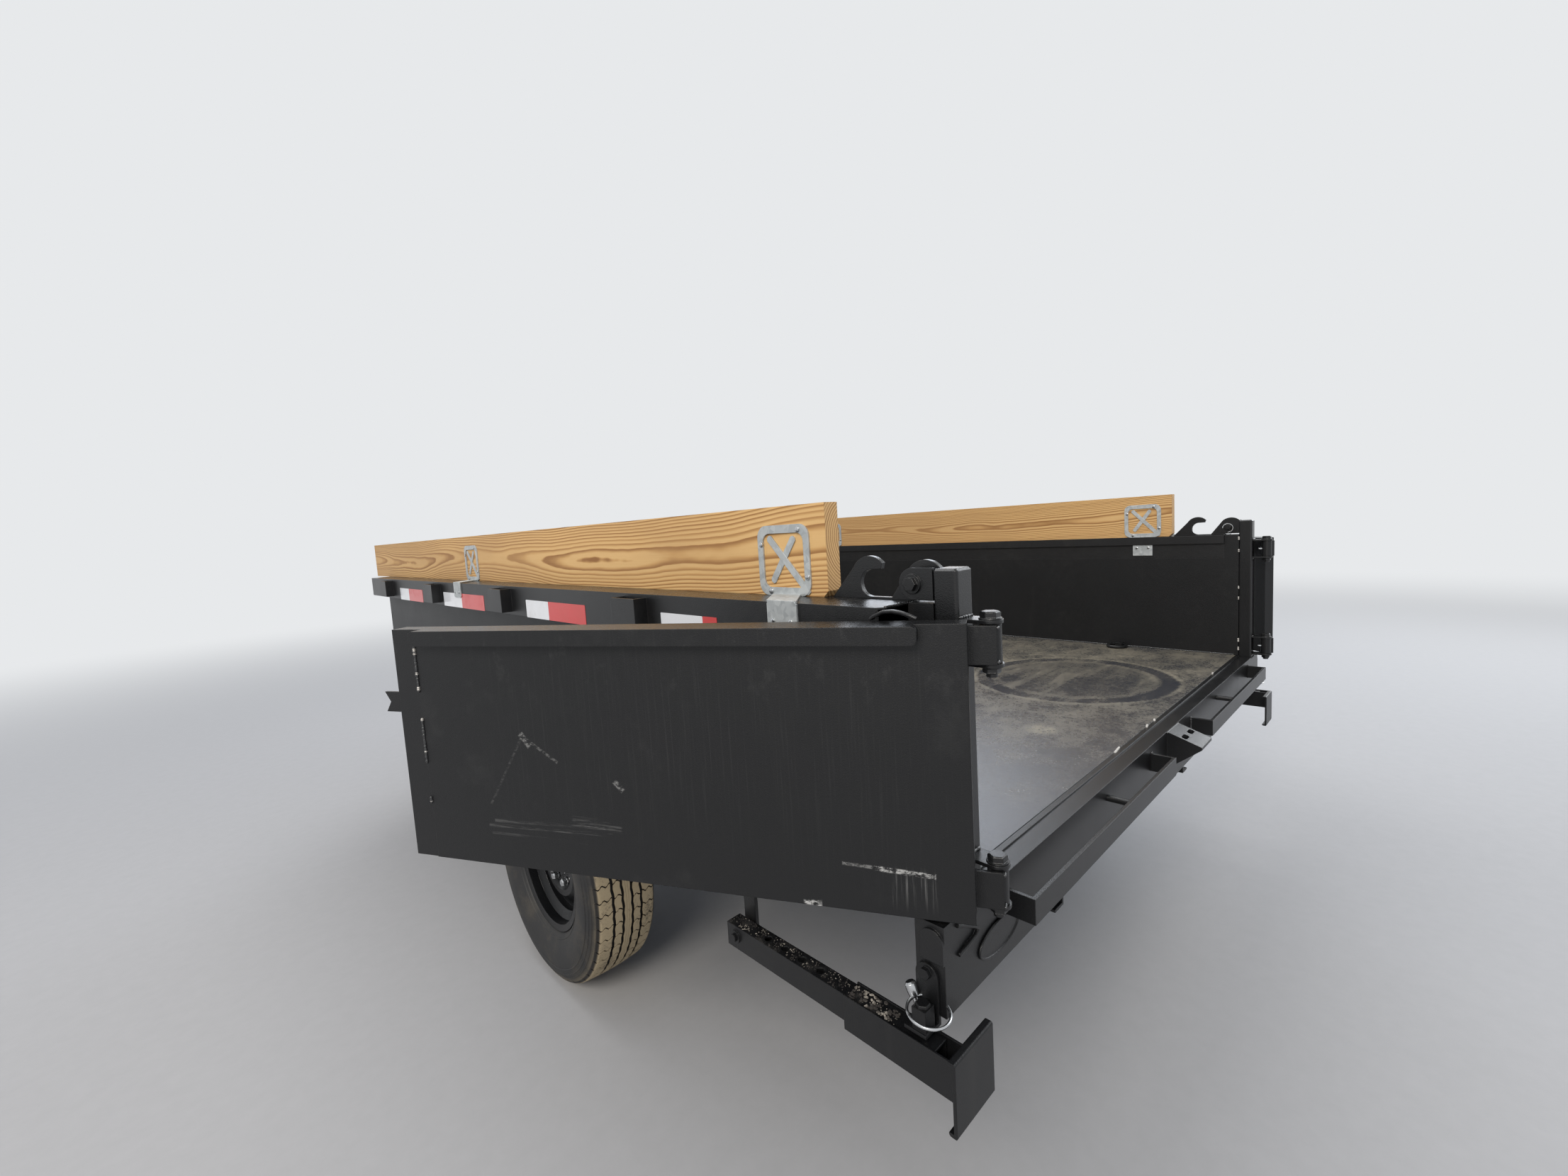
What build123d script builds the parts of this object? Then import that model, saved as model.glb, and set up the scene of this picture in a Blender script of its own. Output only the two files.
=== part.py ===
"""Single-axle dump trailer: tilting steel bed with barn doors, timber side boards and drop legs.

Millimetres. +X right, +Y towards the drawbar, +Z up.
The origin is the centre of the hitch ball that the coupler closes over.
"""

import os
from math import atan2, cos, degrees, hypot, radians, sin

from build123d import *

os.makedirs("parts", exist_ok=True)

CENTRE = Align.CENTER
LOW = Align.MIN
HIGH = Align.MAX

# Standing height and the bed's place
ball_height = 560.0
ground_z = -ball_height
deck_height = 865.0
floor_z = ground_z + deck_height
bed_front_y = -1342.0
bed_length = 3658.0
bed_rear_y = bed_front_y - bed_length

# Bed shell
inside_half = 1116.0
wall_depth = 50.0
outer_half = inside_half + wall_depth
floor_skin = 5.0
wall_skin = 3.0
rail_half = outer_half + 76.0
rail_top = floor_z + 507.0
rail_height = 96.0
rail_skin = 4.0
rail_lip_height = 35.0
rail_lip_reach = 12.0
rail_notch = 95.0
rail_corner = 12.0
post_depth = 45.0
post_top = floor_z + 565.0
post_skin = 5.0
post_corner = 6.0
post_cap = 4.0
beam_depth = 55.0
beam_top = floor_z - 4.0
beam_height = 156.0
beam_skin = 6.0

# Bed frame under the floor
crossmember_height = 76.0
crossmember_flange = 40.0
crossmember_web = 5.0
crossmember_first_y = bed_rear_y + 330.0
crossmember_pitch = 406.0
crossmember_count = int((bed_length - 330.0 - crossmember_flange) // crossmember_pitch) + 1
side_sill_height = 60.0
side_sill_width = 45.0
sill_height = 102.0
sill_width = 60.0
sill_skin = 5.0
sill_x = 560.0
sill_top = floor_z - floor_skin - crossmember_height
sill_base = sill_top - sill_height

# Chassis
chassis_gap = 6.0
rail_depth = 152.0
rail_flange = 50.0
chassis_top = sill_base - chassis_gap
chassis_base = chassis_top - rail_depth
chassis_skin = 7.0
chassis_front_y = bed_front_y + 42.0
tilt_y = bed_rear_y + 120.0
tilt_z = chassis_top - 56.0
tilt_pin_r = 19.0
running_fit = 0.06
chassis_rear_y = tilt_y - 15.0
ear_thickness = 12.0
ear_r = 38.0

# Wheels and axle
tyre_r = 391.0
tyre_width = 235.0
tread_width = 188.0
wheel_x = 1143.0
axle_y = bed_rear_y + 1600.0
axle_z = ground_z + tyre_r
rim_r = 203.0
rim_gap = 0.3
axle_tube_r = 38.0
spindle_r = 24.0

# Doors
door_gap = 7.4
door_base = floor_z + 6.0
door_top = floor_z + 487.0
door_thickness = 38.0
door_inner_y = bed_rear_y + 20.0
door_outer_y = door_inner_y - door_thickness
door_overlap = 28.4
door_meeting_gap = 9.0
door_tube = 50.0
door_skin = 3.0
hinge_x = inside_half + 27.0
hinge_y = bed_rear_y - 44.0
barrel_r = 17.0
hinge_pin_r = 9.0
hinge_barrel_height = 62.0
left_door_open = 242.0
right_door_open = 232.0

# Rear stands
stand_x = rail_half + 28.0
stand_size = 44.0
stand_skin = 3.5
stand_top = floor_z - 180.0
stand_pivot_y = bed_rear_y + 480.0
stand_pivot_z = stand_top - 25.0
stand_pin_r = 8.0

# Hoist
hoist_base_y = bed_rear_y + 650.0
hoist_base_z = -60.0
hoist_eye_y = bed_rear_y + 2000.0
hoist_eye_z = 165.0
hoist_barrel_r = 50.0
hoist_rod_r = 28.0
hoist_pin_r = 16.0
hoist_eye_r = 30.0
hoist_eye_half = 30.0
hoist_neck = 62.0
hoist_ear_skin = 12.0
hoist_ear_inner = hoist_eye_half + 2.0

# Tongue, box and jack
tongue_height = 127.0
tongue_width = 45.0
tongue_skin = 7.0
tongue_front_y = -150.0
tongue_front_x = 62.0
box_half = 400.0
box_rear_y = bed_front_y + 92.0
box_length = 420.0
box_height = 330.0
box_skin = 3.0
jack_y = -470.0
jack_tube_r = 30.0
jack_leg_r = 25.0

# Timber boards
board_thickness = 38.0
board_height = 184.0
board_length = 3658.0
board_rear_y = bed_rear_y + 288.0
board_inner = inside_half - 2.0
board_cut = 12.0

# Bed floor, one steel sheet under the walls, stopping at the rear beam
floor_rear_y = bed_rear_y + beam_depth
with BuildPart() as bed_floor:
    with BuildSketch(Plane.XY.offset(floor_z - floor_skin)):
        with Locations((0, floor_rear_y)):
            Rectangle(2 * outer_half, bed_front_y - floor_rear_y, align=(CENTRE, LOW))
    extrude(amount=floor_skin)
bed_floor.part.label = "bed_floor"
export_step(bed_floor.part, "parts/bed_floor.step")

# Side sills, shallow channels under the floor's edges
with BuildPart() as side_sills:
    with BuildSketch(Plane.XZ.offset(-floor_rear_y)):
        with Locations((outer_half, floor_z - floor_skin)):
            Rectangle(side_sill_width, side_sill_height, align=(HIGH, HIGH))
        with Locations((outer_half - wall_skin, floor_z - floor_skin - wall_skin)):
            Rectangle(side_sill_width, side_sill_height - 2 * wall_skin, align=(HIGH, HIGH), mode=Mode.SUBTRACT)
    extrude(amount=floor_rear_y - bed_front_y)
    mirror(about=Plane.YZ)
side_sills.part.label = "side_sills"
export_step(side_sills.part, "parts/side_sills.step")

# Floor crossmembers, channels cut short above the tyres
wheel_zone = tyre_r + 60.0
with BuildPart() as bed_crossmembers:
    for index in range(crossmember_count):
        member_y = crossmember_first_y + index * crossmember_pitch
        over_wheel = abs(member_y - axle_y) < wheel_zone
        member_half = 990.0 if over_wheel else outer_half - side_sill_width
        with BuildSketch(Plane.YZ.offset(-member_half)):
            with Locations((member_y, floor_z - floor_skin)):
                Rectangle(crossmember_flange, crossmember_height, align=(LOW, HIGH))
            with Locations((member_y + crossmember_web, floor_z - floor_skin - crossmember_web)):
                Rectangle(
                    crossmember_flange,
                    crossmember_height - 2 * crossmember_web,
                    align=(LOW, HIGH),
                    mode=Mode.SUBTRACT,
                )
        extrude(amount=2 * member_half)
bed_crossmembers.part.label = "bed_crossmembers"
export_step(bed_crossmembers.part, "parts/bed_crossmembers.step")

# Long sills with the tilt hinge ears inboard of the chassis rails
ear_x = sill_x - sill_width / 2
ear_top = sill_base + 70.0
with BuildPart() as bed_sills:
    with BuildSketch(Plane.XZ.offset(-floor_rear_y)):
        with Locations((sill_x, sill_base)):
            Rectangle(sill_width, sill_height, align=(CENTRE, LOW))
        with Locations((sill_x, sill_base + sill_skin)):
            Rectangle(
                sill_width - 2 * sill_skin, sill_height - 2 * sill_skin, align=(CENTRE, LOW), mode=Mode.SUBTRACT
            )
    extrude(amount=floor_rear_y - bed_front_y)
    with BuildSketch(Plane.YZ.offset(ear_x - ear_thickness)):
        with Locations((tilt_y, tilt_z)):
            Circle(ear_r)
            Rectangle(2 * ear_r, ear_top - tilt_z, align=(CENTRE, LOW))
            Circle(tilt_pin_r + running_fit, mode=Mode.SUBTRACT)
    extrude(amount=ear_thickness)
    mirror(about=Plane.YZ)
bed_sills.part.label = "bed_sills"
export_step(bed_sills.part, "parts/bed_sills.step")

# Rear beam, a channel across the full width with closed ends
latch_half = 53.0
latch_reach = 87.0
latch_drop = 30.0
latch_skin = 8.0
slot_x = 28.0
slot_length = 34.0
slot_width = 14.0
end_plate_skin = 5.0
end_plate_r = 22.0
end_plate_drop = 34.0
with BuildPart() as rear_beam:
    with BuildSketch(Plane.YZ.offset(-rail_half)):
        with Locations((bed_rear_y, beam_top)):
            Rectangle(beam_depth, beam_height, align=(LOW, HIGH))
    extrude(amount=2 * rail_half)
    with BuildSketch(Plane.YZ.offset(beam_skin - rail_half)):
        with Locations((bed_rear_y + beam_skin, beam_top - beam_skin)):
            Rectangle(beam_depth, beam_height - 2 * beam_skin, align=(LOW, HIGH))
    extrude(amount=2 * (rail_half - beam_skin), mode=Mode.SUBTRACT)
    for end_x in (-rail_half - end_plate_skin, rail_half):
        with BuildSketch(Plane.YZ.offset(end_x)):
            with Locations((bed_rear_y + end_plate_r, beam_top - 8.0 - end_plate_r)):
                Circle(end_plate_r)
                Rectangle(2 * end_plate_r, end_plate_drop, align=(CENTRE, HIGH))
        extrude(amount=end_plate_skin)
    with BuildSketch(Plane.YZ.offset(-latch_half)):
        with BuildLine():
            Polyline(
                (bed_rear_y, beam_top),
                (bed_rear_y - latch_reach, beam_top - latch_drop),
                (bed_rear_y - latch_reach, beam_top - latch_drop - latch_skin),
                (bed_rear_y, beam_top - 110.0),
                close=True,
            )
        make_face()
    extrude(amount=2 * latch_half)
    with BuildSketch(Plane.YZ.offset(latch_skin - latch_half)):
        with BuildLine():
            Polyline(
                (bed_rear_y, beam_top - latch_skin),
                (bed_rear_y - latch_reach, beam_top - latch_drop - latch_skin),
                (bed_rear_y - latch_reach - 10.0, beam_top - 120.0),
                (bed_rear_y, beam_top - 120.0),
                close=True,
            )
        make_face()
    extrude(amount=2 * (latch_half - latch_skin), mode=Mode.SUBTRACT)
    with BuildSketch(Plane.XY.offset(beam_top)):
        with Locations((-slot_x, bed_rear_y - 40.0), (slot_x, bed_rear_y - 40.0)):
            SlotOverall(slot_length, slot_width)
    extrude(amount=-60.0, mode=Mode.SUBTRACT)
rear_beam.part.label = "rear_beam"
export_step(rear_beam.part, "parts/rear_beam.step")

# Ramp bars, bent flat bars standing off the rear beam on round struts
bar_near_x = 195.0
bar_far_x = 1045.0
bar_reach = 60.0
bar_skin = 8.0
bar_height = 48.0
bar_top = beam_top - 21.0
strut_r = 8.0
strut_x = 525.0
with BuildPart() as ramp_bars:
    with BuildSketch(Plane.XY.offset(bar_top)):
        with Locations((bar_near_x, bed_rear_y)):
            Rectangle(bar_far_x - bar_near_x, bar_reach, align=(LOW, HIGH))
        with Locations((bar_near_x + bar_skin, bed_rear_y)):
            Rectangle(
                bar_far_x - bar_near_x - 2 * bar_skin,
                bar_reach - bar_skin,
                align=(LOW, HIGH),
                mode=Mode.SUBTRACT,
            )
    extrude(amount=-bar_height)
    with BuildSketch(Plane.XZ.offset(-bed_rear_y)):
        with Locations((strut_x, bar_top - strut_r - 4.0)):
            Circle(strut_r)
    extrude(amount=bar_reach - bar_skin / 2)
    mirror(about=Plane.YZ)
ramp_bars.part.label = "ramp_bars"
export_step(ramp_bars.part, "parts/ramp_bars.step")

# Rear posts, capped tubes with the hinge ears and bolts
lower_hinge_z = floor_z + 14.0
upper_hinge_z = door_top - 10.0 - hinge_barrel_height
hinge_ear_skin = 6.0
hinge_ear_gap = 1.0
hinge_ear_r = 20.0
hinge_bases = (lower_hinge_z, upper_hinge_z)
with BuildPart() as rear_posts:
    with BuildSketch(Plane.XY.offset(beam_top)):
        with Locations((inside_half, bed_rear_y)):
            RectangleRounded(wall_depth, post_depth, post_corner, align=(LOW, LOW))
    extrude(amount=post_top - beam_top)
    chamfer(rear_posts.edges().group_by(Axis.Z)[-1], length=post_cap)
    with BuildSketch(Plane.XY.offset(beam_top)):
        with Locations((inside_half + post_skin, bed_rear_y + post_skin)):
            Rectangle(wall_depth - 2 * post_skin, post_depth - 2 * post_skin, align=(LOW, LOW))
    extrude(amount=post_top - beam_top - post_skin - post_cap, mode=Mode.SUBTRACT)
    for base in hinge_bases:
        ear_levels = (
            base - hinge_ear_gap - hinge_ear_skin,
            base + hinge_barrel_height + hinge_ear_gap,
        )
        for level in ear_levels:
            with BuildSketch(Plane.XY.offset(level)):
                with Locations((hinge_x, hinge_y)):
                    Circle(hinge_ear_r)
                    Rectangle(2 * hinge_ear_r, bed_rear_y - hinge_y, align=(CENTRE, LOW))
            extrude(amount=hinge_ear_skin)
        with BuildSketch(Plane.XY.offset(base - 24.0)):
            with Locations((hinge_x, hinge_y)):
                Circle(hinge_pin_r)
        extrude(amount=hinge_barrel_height + 24.0 + 8.0)
        with BuildSketch(Plane.XY.offset(base + hinge_barrel_height + hinge_ear_gap + hinge_ear_skin)):
            with Locations((hinge_x, hinge_y)):
                RegularPolygon(14.0, 6)
        extrude(amount=10.0)
    mirror(about=Plane.YZ)
rear_posts.part.label = "rear_posts"
export_step(rear_posts.part, "parts/rear_posts.step")

# Side walls, double-skinned panels up to the top rails, closed up to rail height beside the posts
wall_rear_y = bed_rear_y + post_depth
rail_base = rail_top - rail_height
rail_rear_y = bed_rear_y + rail_notch
for side, sign in (("left", -1), ("right", 1)):
    with BuildPart() as side_wall:
        with BuildSketch(Plane.XZ.offset(-wall_rear_y)):
            with Locations((sign * (inside_half + wall_depth / 2), floor_z)):
                Rectangle(wall_depth, rail_base - floor_z, align=(CENTRE, LOW))
            with Locations((sign * (inside_half + wall_depth / 2), floor_z + wall_skin)):
                Rectangle(
                    wall_depth - 2 * wall_skin,
                    rail_base - floor_z - 2 * wall_skin,
                    align=(CENTRE, LOW),
                    mode=Mode.SUBTRACT,
                )
        extrude(amount=wall_rear_y - bed_front_y)
        with BuildSketch(Plane.XY.offset(rail_base)):
            with Locations((sign * (inside_half + wall_depth / 2), wall_rear_y)):
                Rectangle(wall_depth, rail_rear_y - wall_rear_y, align=(CENTRE, LOW))
                Rectangle(
                    wall_depth - 2 * wall_skin,
                    rail_rear_y - wall_rear_y - wall_skin,
                    align=(CENTRE, LOW),
                    mode=Mode.SUBTRACT,
                )
        extrude(amount=rail_height - wall_skin)
        with BuildSketch(Plane.XY.offset(rail_top - wall_skin)):
            with Locations((sign * (inside_half + wall_depth / 2), wall_rear_y)):
                Rectangle(wall_depth, rail_rear_y - wall_rear_y, align=(CENTRE, LOW))
        extrude(amount=wall_skin)
    side_wall.part.label = f"{side}_wall"
    export_step(side_wall.part, f"parts/{side}_wall.step")

# Top rails, box sections that overhang the walls and carry the stake pockets
pocket_centres = [bed_rear_y + place for place in (855.0, 1700.0, 2470.0, 3250.0)]
pocket_width = 110.0
pocket_depth = 36.0
pocket_height = 78.0
pocket_skin = 6.0
pocket_top = rail_top - 8.0
for side, sign in (("left", -1), ("right", 1)):
    with BuildPart() as top_rail:
        with BuildSketch(Plane.XZ.offset(-rail_rear_y)):
            with Locations((sign * inside_half, rail_base)):
                Rectangle(rail_half - inside_half, rail_height, align=(LOW if sign > 0 else HIGH, LOW))
            with Locations((sign * inside_half, rail_top)):
                Rectangle(rail_lip_reach, rail_lip_height, align=(HIGH if sign > 0 else LOW, HIGH))
            with Locations((sign * (inside_half + rail_half) / 2, rail_base + rail_skin)):
                Rectangle(
                    rail_half - inside_half - 2 * rail_skin,
                    rail_height - 2 * rail_skin,
                    align=(CENTRE, LOW),
                    mode=Mode.SUBTRACT,
                )
        extrude(amount=rail_rear_y - bed_front_y)
        with BuildSketch(Plane.XY.offset(rail_base)):
            with BuildLine():
                Polyline(
                    (sign * rail_half, rail_rear_y),
                    (sign * rail_half, rail_rear_y + rail_corner),
                    (sign * (rail_half - rail_corner), rail_rear_y),
                    close=True,
                )
            make_face()
        extrude(amount=rail_height, mode=Mode.SUBTRACT)
        for place in pocket_centres:
            with BuildSketch(Plane.XY.offset(pocket_top)):
                with Locations((sign * (rail_half + pocket_depth / 2), place)):
                    Rectangle(pocket_depth, pocket_width)
                with Locations((sign * (rail_half + (pocket_depth - pocket_skin) / 2), place)):
                    Rectangle(
                        pocket_depth - pocket_skin, pocket_width - 2 * pocket_skin, mode=Mode.SUBTRACT
                    )
            extrude(amount=-pocket_height)
    top_rail.part.label = f"{side}_top_rail"
    export_step(top_rail.part, f"parts/{side}_top_rail.step")

# Front wall between the side walls, with its own top box
with BuildPart() as front_wall:
    with BuildSketch(Plane.YZ.offset(-inside_half)):
        with Locations((bed_front_y - wall_depth / 2, floor_z)):
            Rectangle(wall_depth, rail_top - floor_z, align=(CENTRE, LOW))
        with Locations((bed_front_y - wall_depth / 2, floor_z + wall_skin)):
            Rectangle(
                wall_depth - 2 * wall_skin,
                rail_top - floor_z - 2 * wall_skin,
                align=(CENTRE, LOW),
                mode=Mode.SUBTRACT,
            )
    extrude(amount=2 * inside_half)
    with BuildSketch(Plane.XY.offset(rail_top - rail_lip_height)):
        with Locations((0, bed_front_y - wall_depth / 2)):
            Rectangle(2 * (inside_half), wall_depth + 1.0)
            Rectangle(2 * (inside_half - rail_lip_reach - 1.0), wall_depth + 2.0, mode=Mode.SUBTRACT)
    extrude(amount=rail_lip_height, mode=Mode.SUBTRACT)
front_wall.part.label = "front_wall"
export_step(front_wall.part, "parts/front_wall.step")

# Hook plates on the rails: a hook open at its rear and a rounded lug beside the post.
# A bolt ties that lug to a second one on the post's front face.
hook_x = inside_half + 20.0
hook_skin = 10.0
lug_y = 84.0
lug_z = 32.0
lug_r = 27.5
lug_skin = 8.0
washer_r = 17.0
washer_skin = 4.0
hook_plane = Plane(origin=(hook_x - hook_skin / 2, bed_rear_y, rail_top), x_dir=(0, 1, 0), z_dir=(1, 0, 0))
with BuildPart() as hook_plates:
    with BuildSketch(hook_plane):
        with BuildLine():
            Line((post_depth, 5.0), (post_depth, 58.0))
            ThreePointArc((post_depth, 58.0), (80.0, 71.0), (104.0, 60.0))
            Line((104.0, 60.0), (146.0, 4.0))
            Line((146.0, 4.0), (190.0, 4.0))
            ThreePointArc((190.0, 4.0), (216.0, 29.0), (192.0, 54.0))
            Line((192.0, 54.0), (168.0, 55.0))
            Line((168.0, 55.0), (165.0, 66.0))
            ThreePointArc((165.0, 66.0), (196.0, 79.0), (232.0, 58.0))
            Line((232.0, 58.0), (286.0, 0.0))
            Line((286.0, 0.0), (rail_notch, 0.0))
            Line((rail_notch, 0.0), (rail_notch, 5.0))
            Line((rail_notch, 5.0), (post_depth, 5.0))
        make_face()
    extrude(amount=hook_skin)
    with BuildSketch(hook_plane.offset(outer_half - lug_skin - hook_x + hook_skin / 2)):
        with Locations((lug_y, lug_z)):
            Circle(lug_r)
        with Locations((post_depth, lug_z)):
            Rectangle(lug_y - post_depth, 2 * lug_r, align=(LOW, CENTRE))
    extrude(amount=lug_skin)
    with BuildSketch(hook_plane.offset(-12.0)):
        with Locations((lug_y, lug_z)):
            Circle(9.0)
    extrude(amount=outer_half - hook_x + hook_skin / 2 + 12.0)
    with BuildSketch(hook_plane.offset(-10.0)):
        with Locations((lug_y, lug_z)):
            RegularPolygon(13.0, 6)
    extrude(amount=10.0)
    with BuildSketch(hook_plane.offset(outer_half - hook_x + hook_skin / 2)):
        with Locations((lug_y, lug_z)):
            Circle(washer_r)
    extrude(amount=washer_skin)
    with BuildSketch(hook_plane.offset(outer_half - hook_x + hook_skin / 2 + washer_skin)):
        with Locations((lug_y, lug_z)):
            RegularPolygon(12.5, 6)
    extrude(amount=8.0)
    mirror(about=Plane.YZ)
hook_plates.part.label = "hook_plates"
export_step(hook_plates.part, "parts/hook_plates.step")

# Timber boards standing on the rails, longer than the bed at the front
for side, sign in (("left", -1), ("right", 1)):
    with BuildPart() as board:
        with BuildSketch(Plane.YZ.offset(sign * (board_inner + board_thickness / 2) - board_thickness / 2)):
            with BuildLine():
                Polyline(
                    (board_rear_y + board_cut, rail_top),
                    (board_rear_y, rail_top + board_cut),
                    (board_rear_y, rail_top + board_height),
                    (board_rear_y + board_length, rail_top + board_height),
                    (board_rear_y + board_length, rail_top),
                    close=True,
                )
            make_face()
        extrude(amount=board_thickness)
    board.part.label = f"{side}_board"
    export_step(board.part, f"parts/{side}_board.step")

# Board brackets on both faces of a board: a rounded frame with a cross in it and a tab bent over the rail
bracket_places = [bed_rear_y + place for place in (405.0, 2268.0)]
bracket_width = 150.0
bracket_height = 146.0
bracket_skin = 4.0
bracket_border = 16.0
bracket_corner = 26.0
bracket_bar = 15.0
tab_width = 96.0
tab_drop = 31.0
board_outer = board_inner + board_thickness
cross_length = hypot(bracket_width, bracket_height) - 24.0
cross_turn = degrees(atan2(bracket_height, bracket_width))
with BuildPart() as board_brackets:
    for place in bracket_places:
        for face_x, thickness in ((board_outer, bracket_skin), (board_inner, -bracket_skin)):
            with BuildSketch(Plane.YZ.offset(face_x)):
                with Locations((place, rail_top + bracket_height / 2)):
                    RectangleRounded(bracket_width, bracket_height, bracket_corner)
                    RectangleRounded(
                        bracket_width - 2 * bracket_border,
                        bracket_height - 2 * bracket_border,
                        bracket_corner - bracket_border / 2,
                        mode=Mode.SUBTRACT,
                    )
                    Rectangle(cross_length, bracket_bar, rotation=cross_turn)
                    Rectangle(cross_length, bracket_bar, rotation=-cross_turn)
            extrude(amount=thickness)
        with BuildSketch(Plane.XZ.offset(-place - tab_width / 2)):
            with Locations((board_outer, rail_top)):
                Rectangle(rail_half - board_outer + bracket_skin, bracket_skin, align=(LOW, LOW))
            with Locations((rail_half, rail_top + bracket_skin)):
                Rectangle(bracket_skin, tab_drop + bracket_skin, align=(LOW, HIGH))
            with Locations((board_inner, rail_top)):
                Rectangle(
                    board_inner - inside_half + rail_lip_reach + bracket_skin, bracket_skin, align=(HIGH, LOW)
                )
            with Locations((inside_half - rail_lip_reach, rail_top + bracket_skin)):
                Rectangle(bracket_skin, rail_lip_height + bracket_skin, align=(HIGH, HIGH))
        extrude(amount=tab_width)
    mirror(about=Plane.YZ)
board_brackets.part.label = "board_brackets"
export_step(board_brackets.part, "parts/board_brackets.step")

# Tie-down rings at the foot of the side walls
ring_places = [bed_rear_y + place for place in (505.0, 3150.0)]
ring_r = 38.0
ring_wire_r = 7.0
ring_lift = 1.0
ring_clip = 30.0
with BuildPart() as tie_down_rings:
    for place in ring_places:
        with BuildSketch(Plane.XZ.offset(-place)):
            with Locations((inside_half - ring_wire_r, floor_z + ring_wire_r + ring_lift)):
                RegularPolygon(ring_wire_r, 8, rotation=22.5)
        revolve(axis=Axis((inside_half - ring_r - ring_wire_r, place, floor_z), (0, 0, 1)))
        with BuildSketch(Plane.XY.offset(floor_z)):
            with Locations((inside_half, place)):
                Rectangle(ring_clip, 30.0, align=(HIGH, CENTRE))
        extrude(amount=2 * ring_wire_r + 2 * ring_lift + 2.0)
    mirror(about=Plane.YZ)
tie_down_rings.part.label = "tie_down_rings"
export_step(tie_down_rings.part, "parts/tie_down_rings.step")

# Lift tube across the long sills, with slotted ears for the pin of the hoist's eye.
# The slot lies along the pin's small travel against the bed while it tips.
lift_size = 76.0
lift_y = hoist_eye_y + 70.0
slot_run = 82.0
slot_play = 4.5
slot_turn = -38.0
slot_half = slot_run / 2
slot_y = hoist_eye_y - 1.2
slot_z = hoist_eye_z - 1.5
slot_end_y = slot_half * cos(radians(slot_turn))
slot_end_z = slot_half * sin(radians(slot_turn))
with BuildPart() as hoist_lift_tube:
    with BuildSketch(Plane.YZ.offset(hoist_ear_inner)):
        with Locations((slot_y - slot_end_y, slot_z - slot_end_z), (slot_y + slot_end_y, slot_z + slot_end_z)):
            Circle(hoist_pin_r + slot_play + 10.0)
        with Locations((lift_y, sill_top - 6.0)):
            Rectangle(4.0, lift_size - 10.0, align=(LOW, HIGH))
        make_hull()
        with Locations((slot_y, slot_z)):
            SlotCenterToCenter(slot_run, 2 * (hoist_pin_r + slot_play), rotation=slot_turn, mode=Mode.SUBTRACT)
    extrude(amount=hoist_ear_skin)
    mirror(about=Plane.YZ)
    with BuildSketch(Plane.YZ.offset(-ear_x)):
        with Locations((lift_y, sill_top - 2.0)):
            Rectangle(lift_size, lift_size, align=(LOW, HIGH))
        with Locations((lift_y + 6.0, sill_top - 8.0)):
            Rectangle(lift_size - 12.0, lift_size - 12.0, align=(LOW, HIGH), mode=Mode.SUBTRACT)
    extrude(amount=2 * ear_x)
hoist_lift_tube.part.label = "hoist_lift_tube"
export_step(hoist_lift_tube.part, "parts/hoist_lift_tube.step")

# Stand hangers: a slim arm below each side sill with a plate down to the stand's pivot, and at the
# beam's end a rounded lug whose block locks the stand while it is stowed
hanger_skin = 8.0
hanger_width = 36.0
hanger_inner = stand_x - stand_size / 2 - 2.0 - hanger_skin
lock_y = bed_rear_y + 32.0
lock_width = 42.0
lock_skin = 6.0
lock_top = beam_top - 71.0
lock_base = stand_top + 6.0
lock_block = 26.0
lock_bolt_z = lock_top - lock_width / 2 + 6.0
with BuildPart() as stand_hangers:
    with BuildSketch(Plane.XY.offset(floor_z - floor_skin - side_sill_height)):
        with Locations((outer_half - side_sill_width, stand_pivot_y)):
            Rectangle(
                hanger_inner + hanger_skin - outer_half + side_sill_width, hanger_width, align=(LOW, CENTRE)
            )
    extrude(amount=-hanger_skin)
    with BuildSketch(Plane.YZ.offset(hanger_inner)):
        with Locations((stand_pivot_y, stand_pivot_z)):
            Circle(hanger_width / 2)
            Rectangle(
                hanger_width, floor_z - floor_skin - side_sill_height - stand_pivot_z, align=(CENTRE, LOW)
            )
    extrude(amount=hanger_skin)
    with BuildSketch(Plane.YZ.offset(hanger_inner)):
        with Locations((stand_pivot_y, stand_pivot_z)):
            Circle(stand_pin_r)
    extrude(amount=hanger_skin + 2.0 + stand_size + 6.0)
    with BuildSketch(Plane.YZ.offset(rail_half)):
        with Locations((lock_y, lock_top - lock_width / 2)):
            Circle(lock_width / 2)
        with Locations((lock_y, lock_base)):
            Rectangle(lock_width, lock_top - lock_width / 2 - lock_base, align=(CENTRE, LOW))
    extrude(amount=lock_skin)
    with BuildSketch(Plane.YZ.offset(rail_half + lock_skin)):
        with Locations((lock_y, lock_bolt_z)):
            RegularPolygon(10.0, 6)
    extrude(amount=8.0)
    with BuildSketch(Plane.XY.offset(lock_base)):
        with Locations((rail_half, lock_y)):
            Rectangle(stand_x + lock_block / 2 + 3.0 - rail_half, lock_width, align=(LOW, CENTRE))
    extrude(amount=lock_skin)
    with BuildSketch(Plane.XY.offset(lock_base + lock_skin)):
        with Locations((stand_x, lock_y - 6.0)):
            Rectangle(lock_block, lock_block)
    extrude(amount=36.0)
    mirror(about=Plane.YZ)
stand_hangers.part.label = "stand_hangers"
export_step(stand_hangers.part, "parts/stand_hangers.step")

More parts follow.
